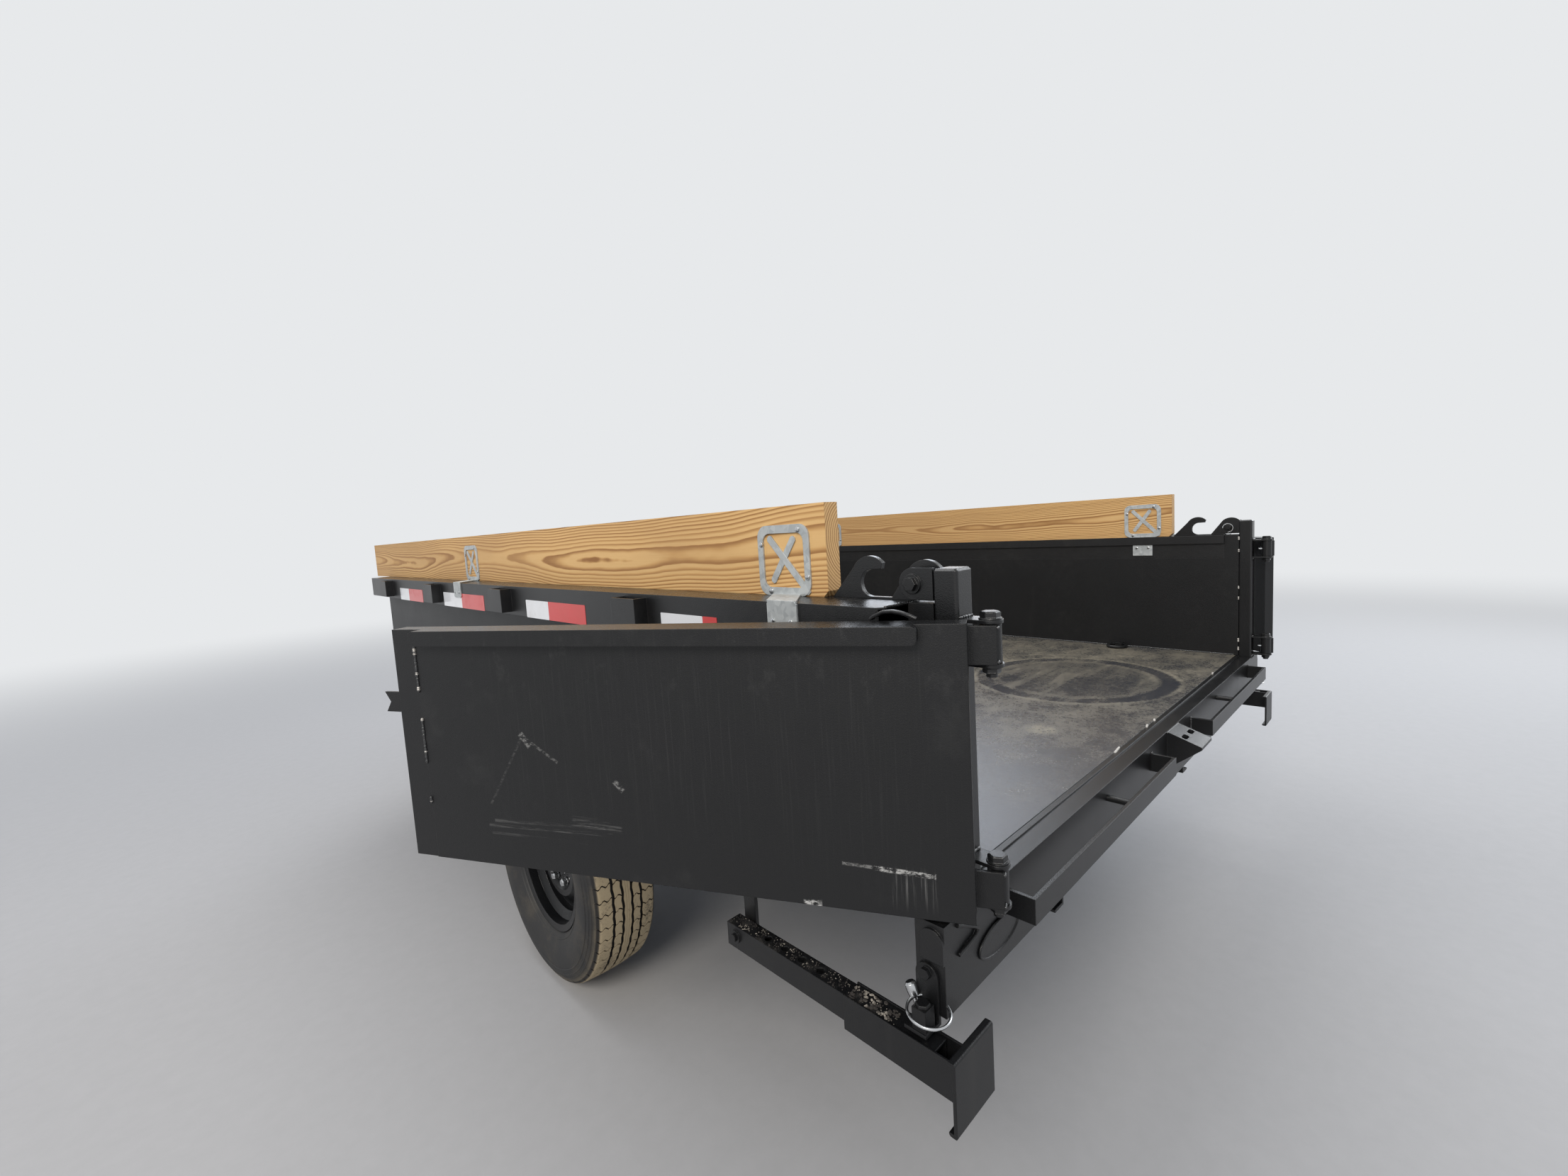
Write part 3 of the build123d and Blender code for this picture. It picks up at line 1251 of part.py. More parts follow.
# Wheels: a revolved tyre on a pressed steel rim with its dished disc, hub, brake drum and wheel nuts.
# In each sketch the first value is the radius and the second the distance towards the trailer's middle.
bead_half = 80.0
flange_r = rim_r + 16.0
rim_skin = 6.0
well_r = rim_r - 26.0
disc_y = -36.0
disc_skin = 8.0
hub_r = 42.0
drum_r = 132.0
nut_count = 6
nut_circle_r = 70.0
slot_count = 8
slot_circle_r = 138.0
for side, sign in (("left", -1), ("right", 1)):
    wheel_plane = Plane(origin=(sign * wheel_x, axle_y, axle_z), x_dir=(0, 0, 1), z_dir=(0, -sign, 0))
    wheel_axis = Axis((sign * wheel_x, axle_y, axle_z), (1, 0, 0))
    disc_plane = Plane(
        origin=(sign * (wheel_x - disc_y), axle_y, axle_z), x_dir=(0, 1, 0), z_dir=(sign, 0, 0)
    )
    with BuildPart() as tyre:
        with BuildSketch(wheel_plane):
            with BuildLine():
                Line((rim_r + rim_gap, 0.0), (rim_r + rim_gap, bead_half - rim_gap))
                Line((rim_r + rim_gap, bead_half - rim_gap), (flange_r + rim_gap, bead_half + 4.0 - rim_gap))
                Line((flange_r + rim_gap, bead_half + 4.0 - rim_gap), (flange_r + 6.0, bead_half + 13.0))
                ThreePointArc(
                    (flange_r + 6.0, bead_half + 13.0),
                    (rim_r + 88.0, tyre_width / 2),
                    (tyre_r - 26.0, tread_width / 2 + 13.0),
                )
                ThreePointArc(
                    (tyre_r - 26.0, tread_width / 2 + 13.0),
                    (tyre_r - 13.0, tread_width / 2 + 6.0),
                    (tyre_r - 5.0, tread_width / 2 - 4.0),
                )
                ThreePointArc((tyre_r - 5.0, tread_width / 2 - 4.0), (tyre_r - 1.3, 46.0), (tyre_r, 0.0))
                Line((tyre_r, 0.0), (rim_r + rim_gap, 0.0))
            make_face()
            mirror(about=Plane.XZ)
        revolve(axis=wheel_axis, revolution_arc=360.0)
    tyre.part.label = f"{side}_tyre"
    export_step(tyre.part, f"parts/{side}_tyre.step")

    with BuildPart() as rim:
        with BuildSketch(wheel_plane):
            with BuildLine():
                Polyline(
                    (flange_r, -bead_half - 4.0),
                    (rim_r, -bead_half),
                    (rim_r, -bead_half + 28.0),
                    (well_r, -bead_half + 44.0),
                    (well_r, 18.0),
                    (rim_r, 36.0),
                    (rim_r, bead_half),
                    (flange_r, bead_half + 4.0),
                    (flange_r, bead_half + 10.0),
                    (rim_r - rim_skin, bead_half + 6.0),
                    (rim_r - rim_skin, 40.0),
                    (well_r - rim_skin, 22.0),
                    (well_r - rim_skin, -bead_half + 40.0),
                    (rim_r - rim_skin, -bead_half + 24.0),
                    (rim_r - rim_skin, -bead_half - 6.0),
                    (flange_r, -bead_half - 10.0),
                    close=True,
                )
            make_face()
            with BuildLine():
                Polyline(
                    (well_r - rim_skin + 1.0, -18.0),
                    (158.0, -18.0),
                    (116.0, disc_y - 14.0),
                    (96.0, disc_y - 14.0),
                    (84.0, disc_y),
                    (hub_r - 2.0, disc_y),
                    (hub_r - 2.0, disc_y + disc_skin),
                    (88.0, disc_y + disc_skin),
                    (100.0, disc_y - 6.0),
                    (113.0, disc_y - 6.0),
                    (156.0, -10.0),
                    (well_r - rim_skin + 1.0, -10.0),
                    close=True,
                )
            make_face()
            with Locations((spindle_r + running_fit, -25.0)):
                Rectangle(hub_r - spindle_r - running_fit, 85.0, align=(LOW, LOW))
            with Locations((0.0, disc_y - 40.0)):
                Rectangle(30.0, 46.0, align=(LOW, LOW))
            with Locations((0.0, disc_y + 5.0)):
                Rectangle(hub_r, 6.0, align=(LOW, LOW))
            with Locations((hub_r - 2.0, disc_y + disc_skin)):
                Rectangle(drum_r - hub_r + 2.0, 8.0, align=(LOW, LOW))
            with Locations((drum_r - 6.0, disc_y + disc_skin)):
                Rectangle(6.0, 88.0, align=(LOW, LOW))
        revolve(axis=wheel_axis, revolution_arc=360.0)
        with BuildSketch(disc_plane):
            with PolarLocations(nut_circle_r, nut_count):
                RegularPolygon(12.0, 6)
        extrude(amount=18.0)
        with BuildSketch(disc_plane.offset(-14.0)):
            with PolarLocations(slot_circle_r, slot_count):
                SlotOverall(40.0, 17.0, rotation=90.0)
        extrude(amount=40.0, mode=Mode.SUBTRACT)
    rim.part.label = f"{side}_rim"
    export_step(rim.part, f"parts/{side}_rim.step")
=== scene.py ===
"""Looks of a single-axle dump trailer: black steel, timber side boards and dusty tyres on the fixed frame."""

from math import cos, hypot, radians, sin, tau

import bmesh
import bpy
from mathutils import Matrix, Vector


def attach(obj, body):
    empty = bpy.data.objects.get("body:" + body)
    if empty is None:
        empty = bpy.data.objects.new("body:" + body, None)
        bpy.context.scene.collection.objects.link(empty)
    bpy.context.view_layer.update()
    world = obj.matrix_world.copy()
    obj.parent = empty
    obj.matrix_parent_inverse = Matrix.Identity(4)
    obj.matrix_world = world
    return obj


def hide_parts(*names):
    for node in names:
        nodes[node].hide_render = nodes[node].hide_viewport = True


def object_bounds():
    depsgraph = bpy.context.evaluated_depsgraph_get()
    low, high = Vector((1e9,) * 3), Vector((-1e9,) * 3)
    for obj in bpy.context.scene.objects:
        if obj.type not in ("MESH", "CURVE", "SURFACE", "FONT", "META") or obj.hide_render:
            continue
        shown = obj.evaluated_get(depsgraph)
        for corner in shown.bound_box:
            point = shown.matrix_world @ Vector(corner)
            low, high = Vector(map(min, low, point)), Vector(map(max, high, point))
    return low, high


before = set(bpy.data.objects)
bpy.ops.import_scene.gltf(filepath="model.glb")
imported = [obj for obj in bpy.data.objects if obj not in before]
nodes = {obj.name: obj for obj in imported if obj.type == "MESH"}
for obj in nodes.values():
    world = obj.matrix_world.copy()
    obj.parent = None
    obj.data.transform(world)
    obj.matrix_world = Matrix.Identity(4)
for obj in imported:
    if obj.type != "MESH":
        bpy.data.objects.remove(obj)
cad_low, cad_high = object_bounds()

# Camera at eye height behind the left rear corner, a very wide phone lens.
# Its place and turn were worked out from the straight edges of the bed.
camera_place = Vector((-2.0657, -5.537, 0.9507))
camera_yaw = radians(43.93)
camera_pitch = radians(5.35)
camera_roll = radians(3.48)
forward = Vector((
    sin(camera_yaw) * cos(camera_pitch),
    cos(camera_yaw) * cos(camera_pitch),
    -sin(camera_pitch),
))
level_right = Vector((cos(camera_yaw), -sin(camera_yaw), 0))
level_down = forward.cross(level_right)
image_right = level_right * cos(camera_roll) + level_down * sin(camera_roll)
image_down = level_down * cos(camera_roll) - level_right * sin(camera_roll)


def placed(name, data):
    """A new object in the scene."""
    thing = bpy.data.objects.new(name, data)
    bpy.context.scene.collection.objects.link(thing)
    return thing


lens = bpy.data.cameras.new("camera")
lens.sensor_width = 36.0
lens.lens = 14.617
lens.clip_start = 0.05
camera = placed("camera", lens)
camera.matrix_world = Matrix((
    (*image_right, 0), (*-image_down, 0), (*-forward, 0), (*camera_place, 1),
)).transposed()
bpy.context.scene.camera = camera
bpy.context.scene.view_settings.view_transform = "Standard"

# Chassis: two channel rails with crossmembers, and the A-frame drawbar in front of them.
# Welded mild steel under a satin black powder coat with fine dust and a few scratches.


def arithmetic(operation):
    """The method that adds one Math node, and its reflected form."""
    return (
        lambda self, other: self.maths(operation, self, other),
        lambda self, other: self.maths(operation, other, self),
    )


class Signal:
    """One socket of a tree's nodes. Arithmetic on it adds Math nodes."""

    def __init__(self, tree, socket):
        self.tree = tree
        self.socket = socket

    def maths(self, operation, *values):
        node = self.tree.nodes.new("ShaderNodeMath")
        node.operation = operation
        for socket, value in zip(node.inputs, values):
            if isinstance(value, Signal):
                self.tree.links.new(value.socket, socket)
            else:
                socket.default_value = value
        return Signal(self.tree, node.outputs[0])

    __add__, __radd__ = arithmetic("ADD")
    __sub__, __rsub__ = arithmetic("SUBTRACT")
    __mul__, __rmul__ = arithmetic("MULTIPLY")
    __truediv__, __rtruediv__ = arithmetic("DIVIDE")

    def __pow__(self, other):
        return self.maths("POWER", self, other)

    def __abs__(self):
        return self.maths("ABSOLUTE", self)

    def smaller(self, other):
        return self.maths("MINIMUM", self, other)

    def larger(self, other):
        return self.maths("MAXIMUM", self, other)


class Wiring:
    """Adds nodes to a tree: each gets its settings first, then the values or links of its sockets."""

    def __init__(self, tree):
        self.tree = tree

    def add(self, kind, inputs=None, output=0, stops=None, **settings):
        node = self.tree.nodes.new(kind)
        for setting, value in settings.items():
            setattr(node, setting, value)
        if stops:
            ramp = node.color_ramp
            while len(ramp.elements) < len(stops):
                ramp.elements.new(0.5)
            for element, (position, colour) in zip(ramp.elements, stops):
                element.position = position
                element.color = (*colour, 1.0)
        for socket, value in (inputs or {}).items():
            self.feed(node.inputs[socket], value)
        return Signal(self.tree, node.outputs[output])

    def feed(self, socket, value):
        if isinstance(value, list):
            for entry in value:
                self.feed(socket, entry)
        elif isinstance(value, Signal):
            self.tree.links.new(value.socket, socket)
        elif isinstance(value, tuple) and len(value) == 3 and len(socket.default_value) == 4:
            socket.default_value = (*value, 1.0)
        else:
            socket.default_value = value


class Finish(Wiring):
    """A material under construction, on the object's own coordinates."""

    def __init__(self, name):
        self.material = bpy.data.materials.new(name)
        self.material.use_nodes = True
        super().__init__(self.material.node_tree)
        self.shader = self.tree.nodes["Principled BSDF"]
        self.place = self.add("ShaderNodeTexCoord", output="Object")

    def surface(self, **inputs):
        for socket, value in inputs.items():
            self.feed(self.shader.inputs[socket.replace("_", " ")], value)

    def stretched(self, x=1.0, y=1.0, z=1.0, turn=(0.0, 0.0, 0.0)):
        return self.add("ShaderNodeMapping", {"Vector": self.place, "Scale": (x, y, z), "Rotation": turn})

    def vector(self, operation, first, second=(0.0, 0.0, 0.0), output="Vector"):
        return self.add("ShaderNodeVectorMath", {0: first, 1: second}, output=output, operation=operation)

    def away(self, point):
        """Distance of the surface from a point."""
        return self.vector("DISTANCE", self.place, point, "Value")

    def noise(self, scale, detail=4.0, roughness=0.55, along=None, **stretch):
        """Cloudy noise along a vector, or else along the place, which may be stretched."""
        along = along or (self.stretched(**stretch) if stretch else self.place)
        inputs = {"Vector": along, "Scale": scale, "Detail": detail, "Roughness": roughness}
        return self.add("ShaderNodeTexNoise", inputs)

    def band(self, value, low, high, top=1.0):
        """A mask that rises from 0 to top while value goes from low to high."""
        inputs = {"Value": value, "From Min": low, "From Max": high, "To Min": 0.0, "To Max": top}
        return self.add("ShaderNodeMapRange", inputs, interpolation_type="SMOOTHSTEP")

    def between(self, value, low, high, edge):
        return self.band(value, low - edge, low + edge) * (1 - self.band(value, high - edge, high + edge))

    def axis(self, name):
        return self.add("ShaderNodeSeparateXYZ", {0: self.place}, output=name)

    def facing(self, name):
        """How far the surface faces along one axis of the object, from -1 to 1."""
        normal = self.add("ShaderNodeTexCoord", output="Normal")
        return self.add("ShaderNodeSeparateXYZ", {0: normal}, output=name)

    def mix(self, mask, first, second):
        return self.add("ShaderNodeMix", {0: mask, 6: first, 7: second}, output=2, data_type="RGBA")

    def relief(self, height, depth, radius=0.0):
        """Bump of a real depth in metres, over edges that are rounded by radius."""
        inputs = {"Height": height, "Distance": depth, "Strength": 1.0}
        if radius:
            inputs["Normal"] = self.add("ShaderNodeBevel", {"Radius": radius}, samples=4)
        self.surface(Normal=self.add("ShaderNodeBump", inputs))

    def coat(self, *things):
        """Cover objects, or nodes of the frame by their names, with this material alone."""
        for thing in things:
            materials = (nodes[thing] if isinstance(thing, str) else thing).data.materials
            materials.clear()
            materials.append(self.material)


coat_black = (0.0068, 0.0070, 0.0076)
coat_dust = (0.155, 0.145, 0.130)
bare_scrape = (0.46, 0.455, 0.435)


def powder_coat(name, dust=0.5, scratches=0.3, gloss=0.36, shine=0.34, marks=None, turned_place=None):
    """Satin powder coat. marks(finish) may give one more mask of pale wear."""
    finish = Finish(name)
    if turned_place:
        finish.place = finish.add("ShaderNodeMapping", {"Vector": finish.place, **turned_place})
    cloud = finish.noise(2.3, 6.0, 0.6)
    fleck = finish.noise(38.0, 5.0, 0.65)
    run = finish.noise(9.0, 5.0, 0.6, z=0.08)
    up = finish.band(finish.facing("Z"), 0.3, 0.95)
    settled = finish.band(cloud * 0.6 + fleck * 0.4, 0.47, 0.74) * (up * 0.8 + 0.12) * dust
    washed = finish.band(run, 0.58, 0.82) * (1 - up) * 0.22 * dust
    hair = finish.noise(26.0, 8.0, 0.75, y=0.12, z=4.0, turn=(0.5, 0.2, 0.3))
    cross = finish.noise(31.0, 8.0, 0.75, x=5.0, z=0.18, turn=(0.1, 0.7, 0.5))
    scratch = (finish.band(hair, 0.70, 0.74) + finish.band(cross, 0.71, 0.75)) * scratches * 0.35
    mask = (settled + washed + scratch).smaller(0.92)
    colour = finish.mix(mask, coat_black, coat_dust)
    if marks:
        worn = marks(finish).smaller(0.95)
        colour = finish.mix(worn, colour, bare_scrape)
        mask = mask.larger(worn)
    finish.surface(
        Base_Color=colour,
        Roughness=gloss - up * 0.15 + mask * 0.45 + finish.noise(6.0, 3.0) * 0.1,
        Specular_IOR_Level=shine,
    )
    finish.relief(finish.noise(520.0, 2.0) * 0.7 + fleck * 0.3, 0.0006, 0.0022)
    return finish


frame_coat = powder_coat("frame_powder_coat", dust=0.42, scratches=0.3)
frame_coat.coat("chassis_rails", "chassis_crossmembers", "tongue_rails")


def finished(name, mesh, finish, body, crease=32.0):
    """Make the mesh a finished piece at the origin that rides on a body."""
    shape = bmesh.new()
    shape.from_mesh(mesh)
    bmesh.ops.remove_doubles(shape, verts=shape.verts, dist=1e-6)
    bmesh.ops.recalc_face_normals(shape, faces=shape.faces)
    shape.to_mesh(mesh)
    shape.free()
    mesh.name = name
    mesh.shade_smooth()
    mesh.set_sharp_from_angle(angle=radians(crease))
    piece = placed(name, mesh)
    finish.coat(piece)
    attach(piece, body)
    return piece


def baked(name, shape):
    """The mesh of a bmesh, which is given up."""
    mesh = bpy.data.meshes.new(name)
    shape.to_mesh(mesh)
    shape.free()
    return mesh


def cast(name, shape, finish, body="bed", crease=32.0):
    """Make the bmesh a finished piece."""
    return finished(name, baked(name, shape), finish, body, crease)


class Pattern(Wiring):
    """A Geometry Nodes tree that repeats a shape. Its sizes are named inputs of the tree."""

    def __init__(self, name, **sizes):
        super().__init__(bpy.data.node_groups.new(name, "GeometryNodeTree"))
        self.sizes = {size.replace("_", " "): value for size, value in sizes.items()}
        sockets = self.tree.interface
        sockets.new_socket("Geometry", in_out="INPUT", socket_type="NodeSocketGeometry")
        sockets.new_socket("Geometry", in_out="OUTPUT", socket_type="NodeSocketGeometry")
        for size, value in self.sizes.items():
            kind = "NodeSocketInt" if isinstance(value, int) else "NodeSocketFloat"
            sockets.new_socket(size, in_out="INPUT", socket_type=kind)
        self.given = self.tree.nodes.new("NodeGroupInput")
        self.start = self.size("Geometry")

    def size(self, name):
        return Signal(self.tree, self.given.outputs[name])

    def on_points(self, points, thing, **lie):
        return self.add("GeometryNodeInstanceOnPoints", {"Points": points, "Instance": thing, **lie})

    def grow(self, start, result, finish):
        """End the tree, run it on the start mesh and give the plain mesh that it makes."""
        whole = self.add("GeometryNodeRealizeInstances", {0: result})
        painted = self.add("GeometryNodeSetMaterial", {"Geometry": whole, "Material": finish.material})
        end = self.tree.nodes.new("NodeGroupOutput")
        self.feed(end.inputs[0], painted)
        host = placed(self.tree.name, start)
        maker = host.modifiers.new("pattern", "NODES")
        maker.node_group = self.tree
        for entry in self.tree.interface.items_tree:
            if entry.in_out == "INPUT" and entry.name in self.sizes:
                maker[entry.identifier] = self.sizes[entry.name]
        evaluated = host.evaluated_get(bpy.context.evaluated_depsgraph_get())
        grown = bpy.data.meshes.new_from_object(evaluated)
        host.modifiers.remove(maker)
        bpy.data.objects.remove(host)
        return grown


def weld_beads(name, runs, finish, body="bed", bead=0.004):
    """Weld beads along straight runs, each a pair of points, as overlapping drops of metal."""
    ends = [end for run in runs for end in run]
    lines = bpy.data.meshes.new(name)
    lines.from_pydata(ends, [(index, index + 1) for index in range(0, len(ends), 2)], [])
    pattern = Pattern(name, Bead_radius=bead, Bead_pitch=bead * 0.95, Seed=3)
    path = pattern.add("GeometryNodeMeshToCurve", {0: pattern.start})
    steps = {"Curve": path, "Length": pattern.size("Bead pitch")}
    drops = pattern.add("GeometryNodeResampleCurve", steps, mode="LENGTH")
    ball = {"Radius": pattern.size("Bead radius"), "Subdivisions": 2}
    drop = pattern.add("GeometryNodeMeshIcoSphere", ball)
    spread = {2: 0.8, 3: 1.15, "Seed": pattern.size("Seed")}
    swell = pattern.add("FunctionNodeRandomValue", spread, output=1, data_type="FLOAT")
    beads = pattern.on_points(drops, drop, Scale=swell)
    finished(name, pattern.grow(lines, beads, finish), finish, body, crease=60.0)


def both_sides(*runs):
    """Runs that are given for the right side, on the left side first and then on the right."""
    return [
        [(side * across, along, height) for across, along, height in run]
        for side in (-1, 1) for run in runs
    ]


chassis_inner = 0.535
chassis_base = -0.036
bead_coat = powder_coat("weld_gloss_coat", dust=0.05, scratches=0.0, gloss=0.16, shine=1.0)
crossmember_ends = (
    # place along the trailer, height of the joint
    (-4.79, 0.12), (-4.46, 0.076), (-2.45, 0.12), (-1.402, 0.15),
)
weld_beads(
    "chassis_welds",
    both_sides(*(
        ((chassis_inner, face, chassis_base), (chassis_inner, face, chassis_base + height))
        for face, height in crossmember_ends
    )),
    bead_coat, "chassis",
)

# Axle: a tube on two stacks of leaves, held by U bolts.
# Black painted steel, greyed by road dust; the U bolts' nuts sit under the spring plates.
axle_coat = powder_coat("axle_paint", dust=0.8, scratches=0.1, gloss=0.5)
axle_coat.coat("axle_beam", "leaf_springs")
axle_y = -3.4
axle_z = -0.169
spring_x = 0.56


def fasteners(name, places, finish, radius, height, washer=0.0, sides=6, body="bed"):
    """Like heads at places, each a point and the direction that the head faces."""
    spots = bpy.data.meshes.new(name)
    spots.from_pydata([place for place, aim in places], [], [])
    aims = spots.attributes.new("aim", "FLOAT_VECTOR", "POINT")
    for entry, (place, aim) in zip(aims.data, places):
        entry.vector = aim
    washer = washer or radius
    pattern = Pattern(name, Head_radius=radius, Head_height=height, Washer_radius=washer, Sides=sides)
    wide, tall, skirt = (pattern.size(size) for size in ("Head radius", "Head height", "Washer radius"))
    cones = [
        pattern.add(
            "GeometryNodeMeshCone",
            {"Vertices": around, "Radius Top": top, "Radius Bottom": foot, "Depth": tall * share},
        )
        for around, top, foot, share in (
            (pattern.size("Sides"), wide, wide, 0.8),
            (pattern.size("Sides"), wide * 0.82, wide, 0.2),
            (24, skirt * 0.96, skirt, 0.18),
        )
    ]
    lift = pattern.add("ShaderNodeCombineXYZ", {"Z": tall * 0.8})
    cones[1] = pattern.add("GeometryNodeTransform", {"Geometry": cones[1], "Translation": lift})
    head = pattern.add("GeometryNodeJoinGeometry", {0: cones})
    aim = pattern.add("GeometryNodeInputNamedAttribute", {0: "aim"}, data_type="FLOAT_VECTOR")
    turn = pattern.add("FunctionNodeAlignRotationToVector", {"Vector": aim}, axis="Z")
    heads = pattern.on_points(pattern.start, head, Rotation=turn)
    finished(name, pattern.grow(spots, heads, finish), finish, body)


fasteners(
    "u_bolt_nuts",
    [
        ((side * spring_x + across * 0.027, axle_y + along * 0.040, axle_z - 0.052), (0, 0, -1))
        for side in (-1, 1) for across in (-1, 1) for along in (-1, 1)
    ],
    axle_coat, radius=0.010, height=0.009, body="chassis",
)

# Wheels: moulded tyres on pressed rims. Four grooves part the five ribs and wavy cuts cross the outer ones.
# Black rubber, the tread pale with tan dust; the rim is gloss black with plated nuts and hub cap.
crown_r = 0.391
crown_bend = 0.617
wheel_x = 1.143
pitches = 54
rubber = Finish("dusty_rubber")
from_axle = rubber.vector("ADD", rubber.place, (0.0, -axle_y, -axle_z))
flat_from_axle = rubber.vector("MULTIPLY", from_axle, (0.0, 1.0, 1.0))
tyre_radius = rubber.vector("LENGTH", flat_from_axle, output="Value")
across_tyre = abs(rubber.axis("X")) - wheel_x
below_crown = crown_r - across_tyre * across_tyre * crown_bend - tyre_radius
tyre_dust = rubber.noise(9.0, 6.0, 0.65)
tyre_grit = rubber.noise(160.0, 4.0, 0.7)
on_crown = 1 - rubber.band(below_crown, 0.0005, 0.0045)
tread_mask = on_crown * rubber.band(tyre_dust * 0.5 + tyre_grit * 0.5, 0.28, 0.5)
shoulder_mask = rubber.band(tyre_radius, 0.352, 0.384) * 0.25
wall_mask = rubber.band(tyre_dust * 0.7 + tyre_grit * 0.3, 0.45, 0.7) * 0.07
tyre_mask = (tread_mask * 0.85).larger(shoulder_mask * rubber.band(tyre_dust, 0.3, 0.6)).larger(wall_mask)
# Painted shade: the floors of the grooves and cuts are coloured near black, darker than the rubber around
# them.
painted_groove_shade = rubber.band(below_crown, 0.0015, 0.005) * rubber.band(tyre_radius, 0.372, 0.376)
rubber_colour = rubber.mix(tyre_mask, (0.019, 0.019, 0.0195), (0.50, 0.40, 0.25))
rubber.surface(
    Base_Color=rubber.mix(painted_groove_shade * 0.95, rubber_colour, (0.006, 0.005, 0.005)),
    Roughness=0.62 + tyre_mask * 0.3,
)
rubber.relief(tyre_grit * 0.6 + tyre_dust * 0.4, 0.0005)

sidewall_table = (
    # distance from the axle, how far it stands proud of the plain sidewall
    (0.2252, 0.0), (0.2335, 0.0), (0.2348, 0.0015), (0.2385, 0.0015), (0.2398, 0.0), (0.2560, 0.0),
    (0.2780, 0.0), (0.3000, 0.0), (0.3200, 0.0), (0.3280, 0.0), (0.3295, 0.0018), (0.3330, 0.0018),
    (0.3345, 0.0), (0.3440, 0.0), (0.3455, 0.0016), (0.3480, 0.0016), (0.3495, 0.0), (0.3560, 0.0),
    (0.3572, 0.0018), (0.3605, 0.0018), (0.3617, 0.0),
)
tread_table = (
    # distance from the tyre's middle, depth below the crown, share of the zigzag, depth of the wavy cut
    (0.0922, 0.0006, 0.0, 0.0050), (0.0870, 0.0, 0.0, 0.0065), (0.0820, 0.0, 0.0, 0.0075),
    (0.0770, 0.0, 0.0, 0.0075), (0.0720, 0.0, 0.0, 0.0075), (0.0670, 0.0, 0.0, 0.0075),
    (0.0620, 0.0, 0.0, 0.0070), (0.0570, 0.0, 0.5, 0.0065), (0.0534, 0.0, 1.0, 0.0060),
    (0.0522, 0.0095, 1.0, 0.0), (0.0442, 0.0095, 1.0, 0.0), (0.0430, 0.0, 1.0, 0.0065),
    (0.0380, 0.0, 0.5, 0.0060), (0.0320, 0.0, 0.0, 0.0020), (0.0260, 0.0, 0.5, 0.0060),
    (0.0212, 0.0, 1.0, 0.0065), (0.0200, 0.0095, 1.0, 0.0), (0.0122, 0.0095, 1.0, 0.0),
    (0.0110, 0.0, 1.0, 0.0), (0.0052, 0.0, 0.0, 0.0), (0.0042, 0.0018, 0.0, 0.0), (0.0032, 0.0, 0.0, 0.0),
)
bead_r = 0.225
bead_half = 0.093
bulge_r = 0.291
wall_slope = 0.3712
wall_bend = 3.665
# From the bead to the crown: distance from the tyre's middle, radius, share of the zigzag, depth of the cut.
half_section = [(0.0800, 0.2035, 0.0, 0.0), (0.0842, 0.2198, 0.0, 0.0)]
for distance, proud in sidewall_table:
    above_bead = distance - bead_r
    plain = bead_half + wall_slope * above_bead - wall_bend * above_bead * (distance - bulge_r)
    half_section.append((plain + proud, distance, 0.0, 0.0))
half_section += [(0.1062, 0.3660, 0.0, 0.0), (0.1036, 0.3735, 0.0, 0.0030), (0.0992, 0.3798, 0.0, 0.0040)]
for across, depth, zigzag, cut in tread_table:
    half_section.append((across, crown_r - crown_bend * across ** 2 - depth, zigzag, cut))
row_table = (
    # share of the pitch, whether the wavy cut follows this row, how deep it is cut, zigzag
    (0.0, 0, 0, -1.0), (0.20, 0, 0, -0.1), (0.365, 1, 0, 0.5), (0.385, 1, 1, 0.6),
    (0.455, 1, 1, 0.7), (0.475, 1, 0, 0.8), (0.7, 0, 0, 0.3), (1.0, 0, 0, -1.0),
)
pitch_angle = tau / pitches
wave_height = 0.0045
wave_length = 0.024
zigzag_reach = 0.0016
half_pitch_blend = 0.003
pitch_shape = bmesh.new()
tyre_rows = []
for share, wavy, cut_here, zigzag_here in row_table:
    row = []
    for side, section in ((-1, half_section), (1, half_section[::-1])):
        for across, radius, zigzag, cut in section:
            slip = 0.25 * (1 - max(-1.0, min(1.0, side * across / half_pitch_blend)))
            wave = wavy * (cut > 0) * wave_height * sin(tau * across / wave_length) / crown_r
            around = pitch_angle * (share + slip) + wave
            place = side * across + zigzag * zigzag_here * zigzag_reach
            depth = radius - cut_here * cut
            row.append(pitch_shape.verts.new((place, depth * sin(around), depth * cos(around))))
    tyre_rows.append(row)


def skin(shape, loops, closed=False):
    """Fill quads between neighbouring loops of points, with closed also from the last to the first."""
    for here, there in zip(loops, loops[1:] + loops[:1] if closed else loops[1:]):
        for index in range(len(here)):
            following = (index + 1) % len(here)
            shape.faces.new((here[index], here[following], there[following], there[index]))


skin(pitch_shape, tyre_rows)
pitch_mesh = baked("tyre_pitch", pitch_shape)

rim_coat = powder_coat("rim_gloss_black", dust=0.15, scratches=0.1, gloss=0.16)
plated = Finish("bright_zinc_plate")
plate_cloud = plated.noise(40.0, 4.0)
plated.surface(
    Base_Color=plated.mix(plate_cloud, (0.42, 0.43, 0.44), (0.66, 0.67, 0.68)),
    Metallic=1.0,
    Roughness=0.16 + plate_cloud * 0.16,
)
plated.relief(plate_cloud, 0.0003, 0.0006)


def circle(count):
    """Angles in even steps around a full turn."""
    return [tau * step / count for step in range(count)]


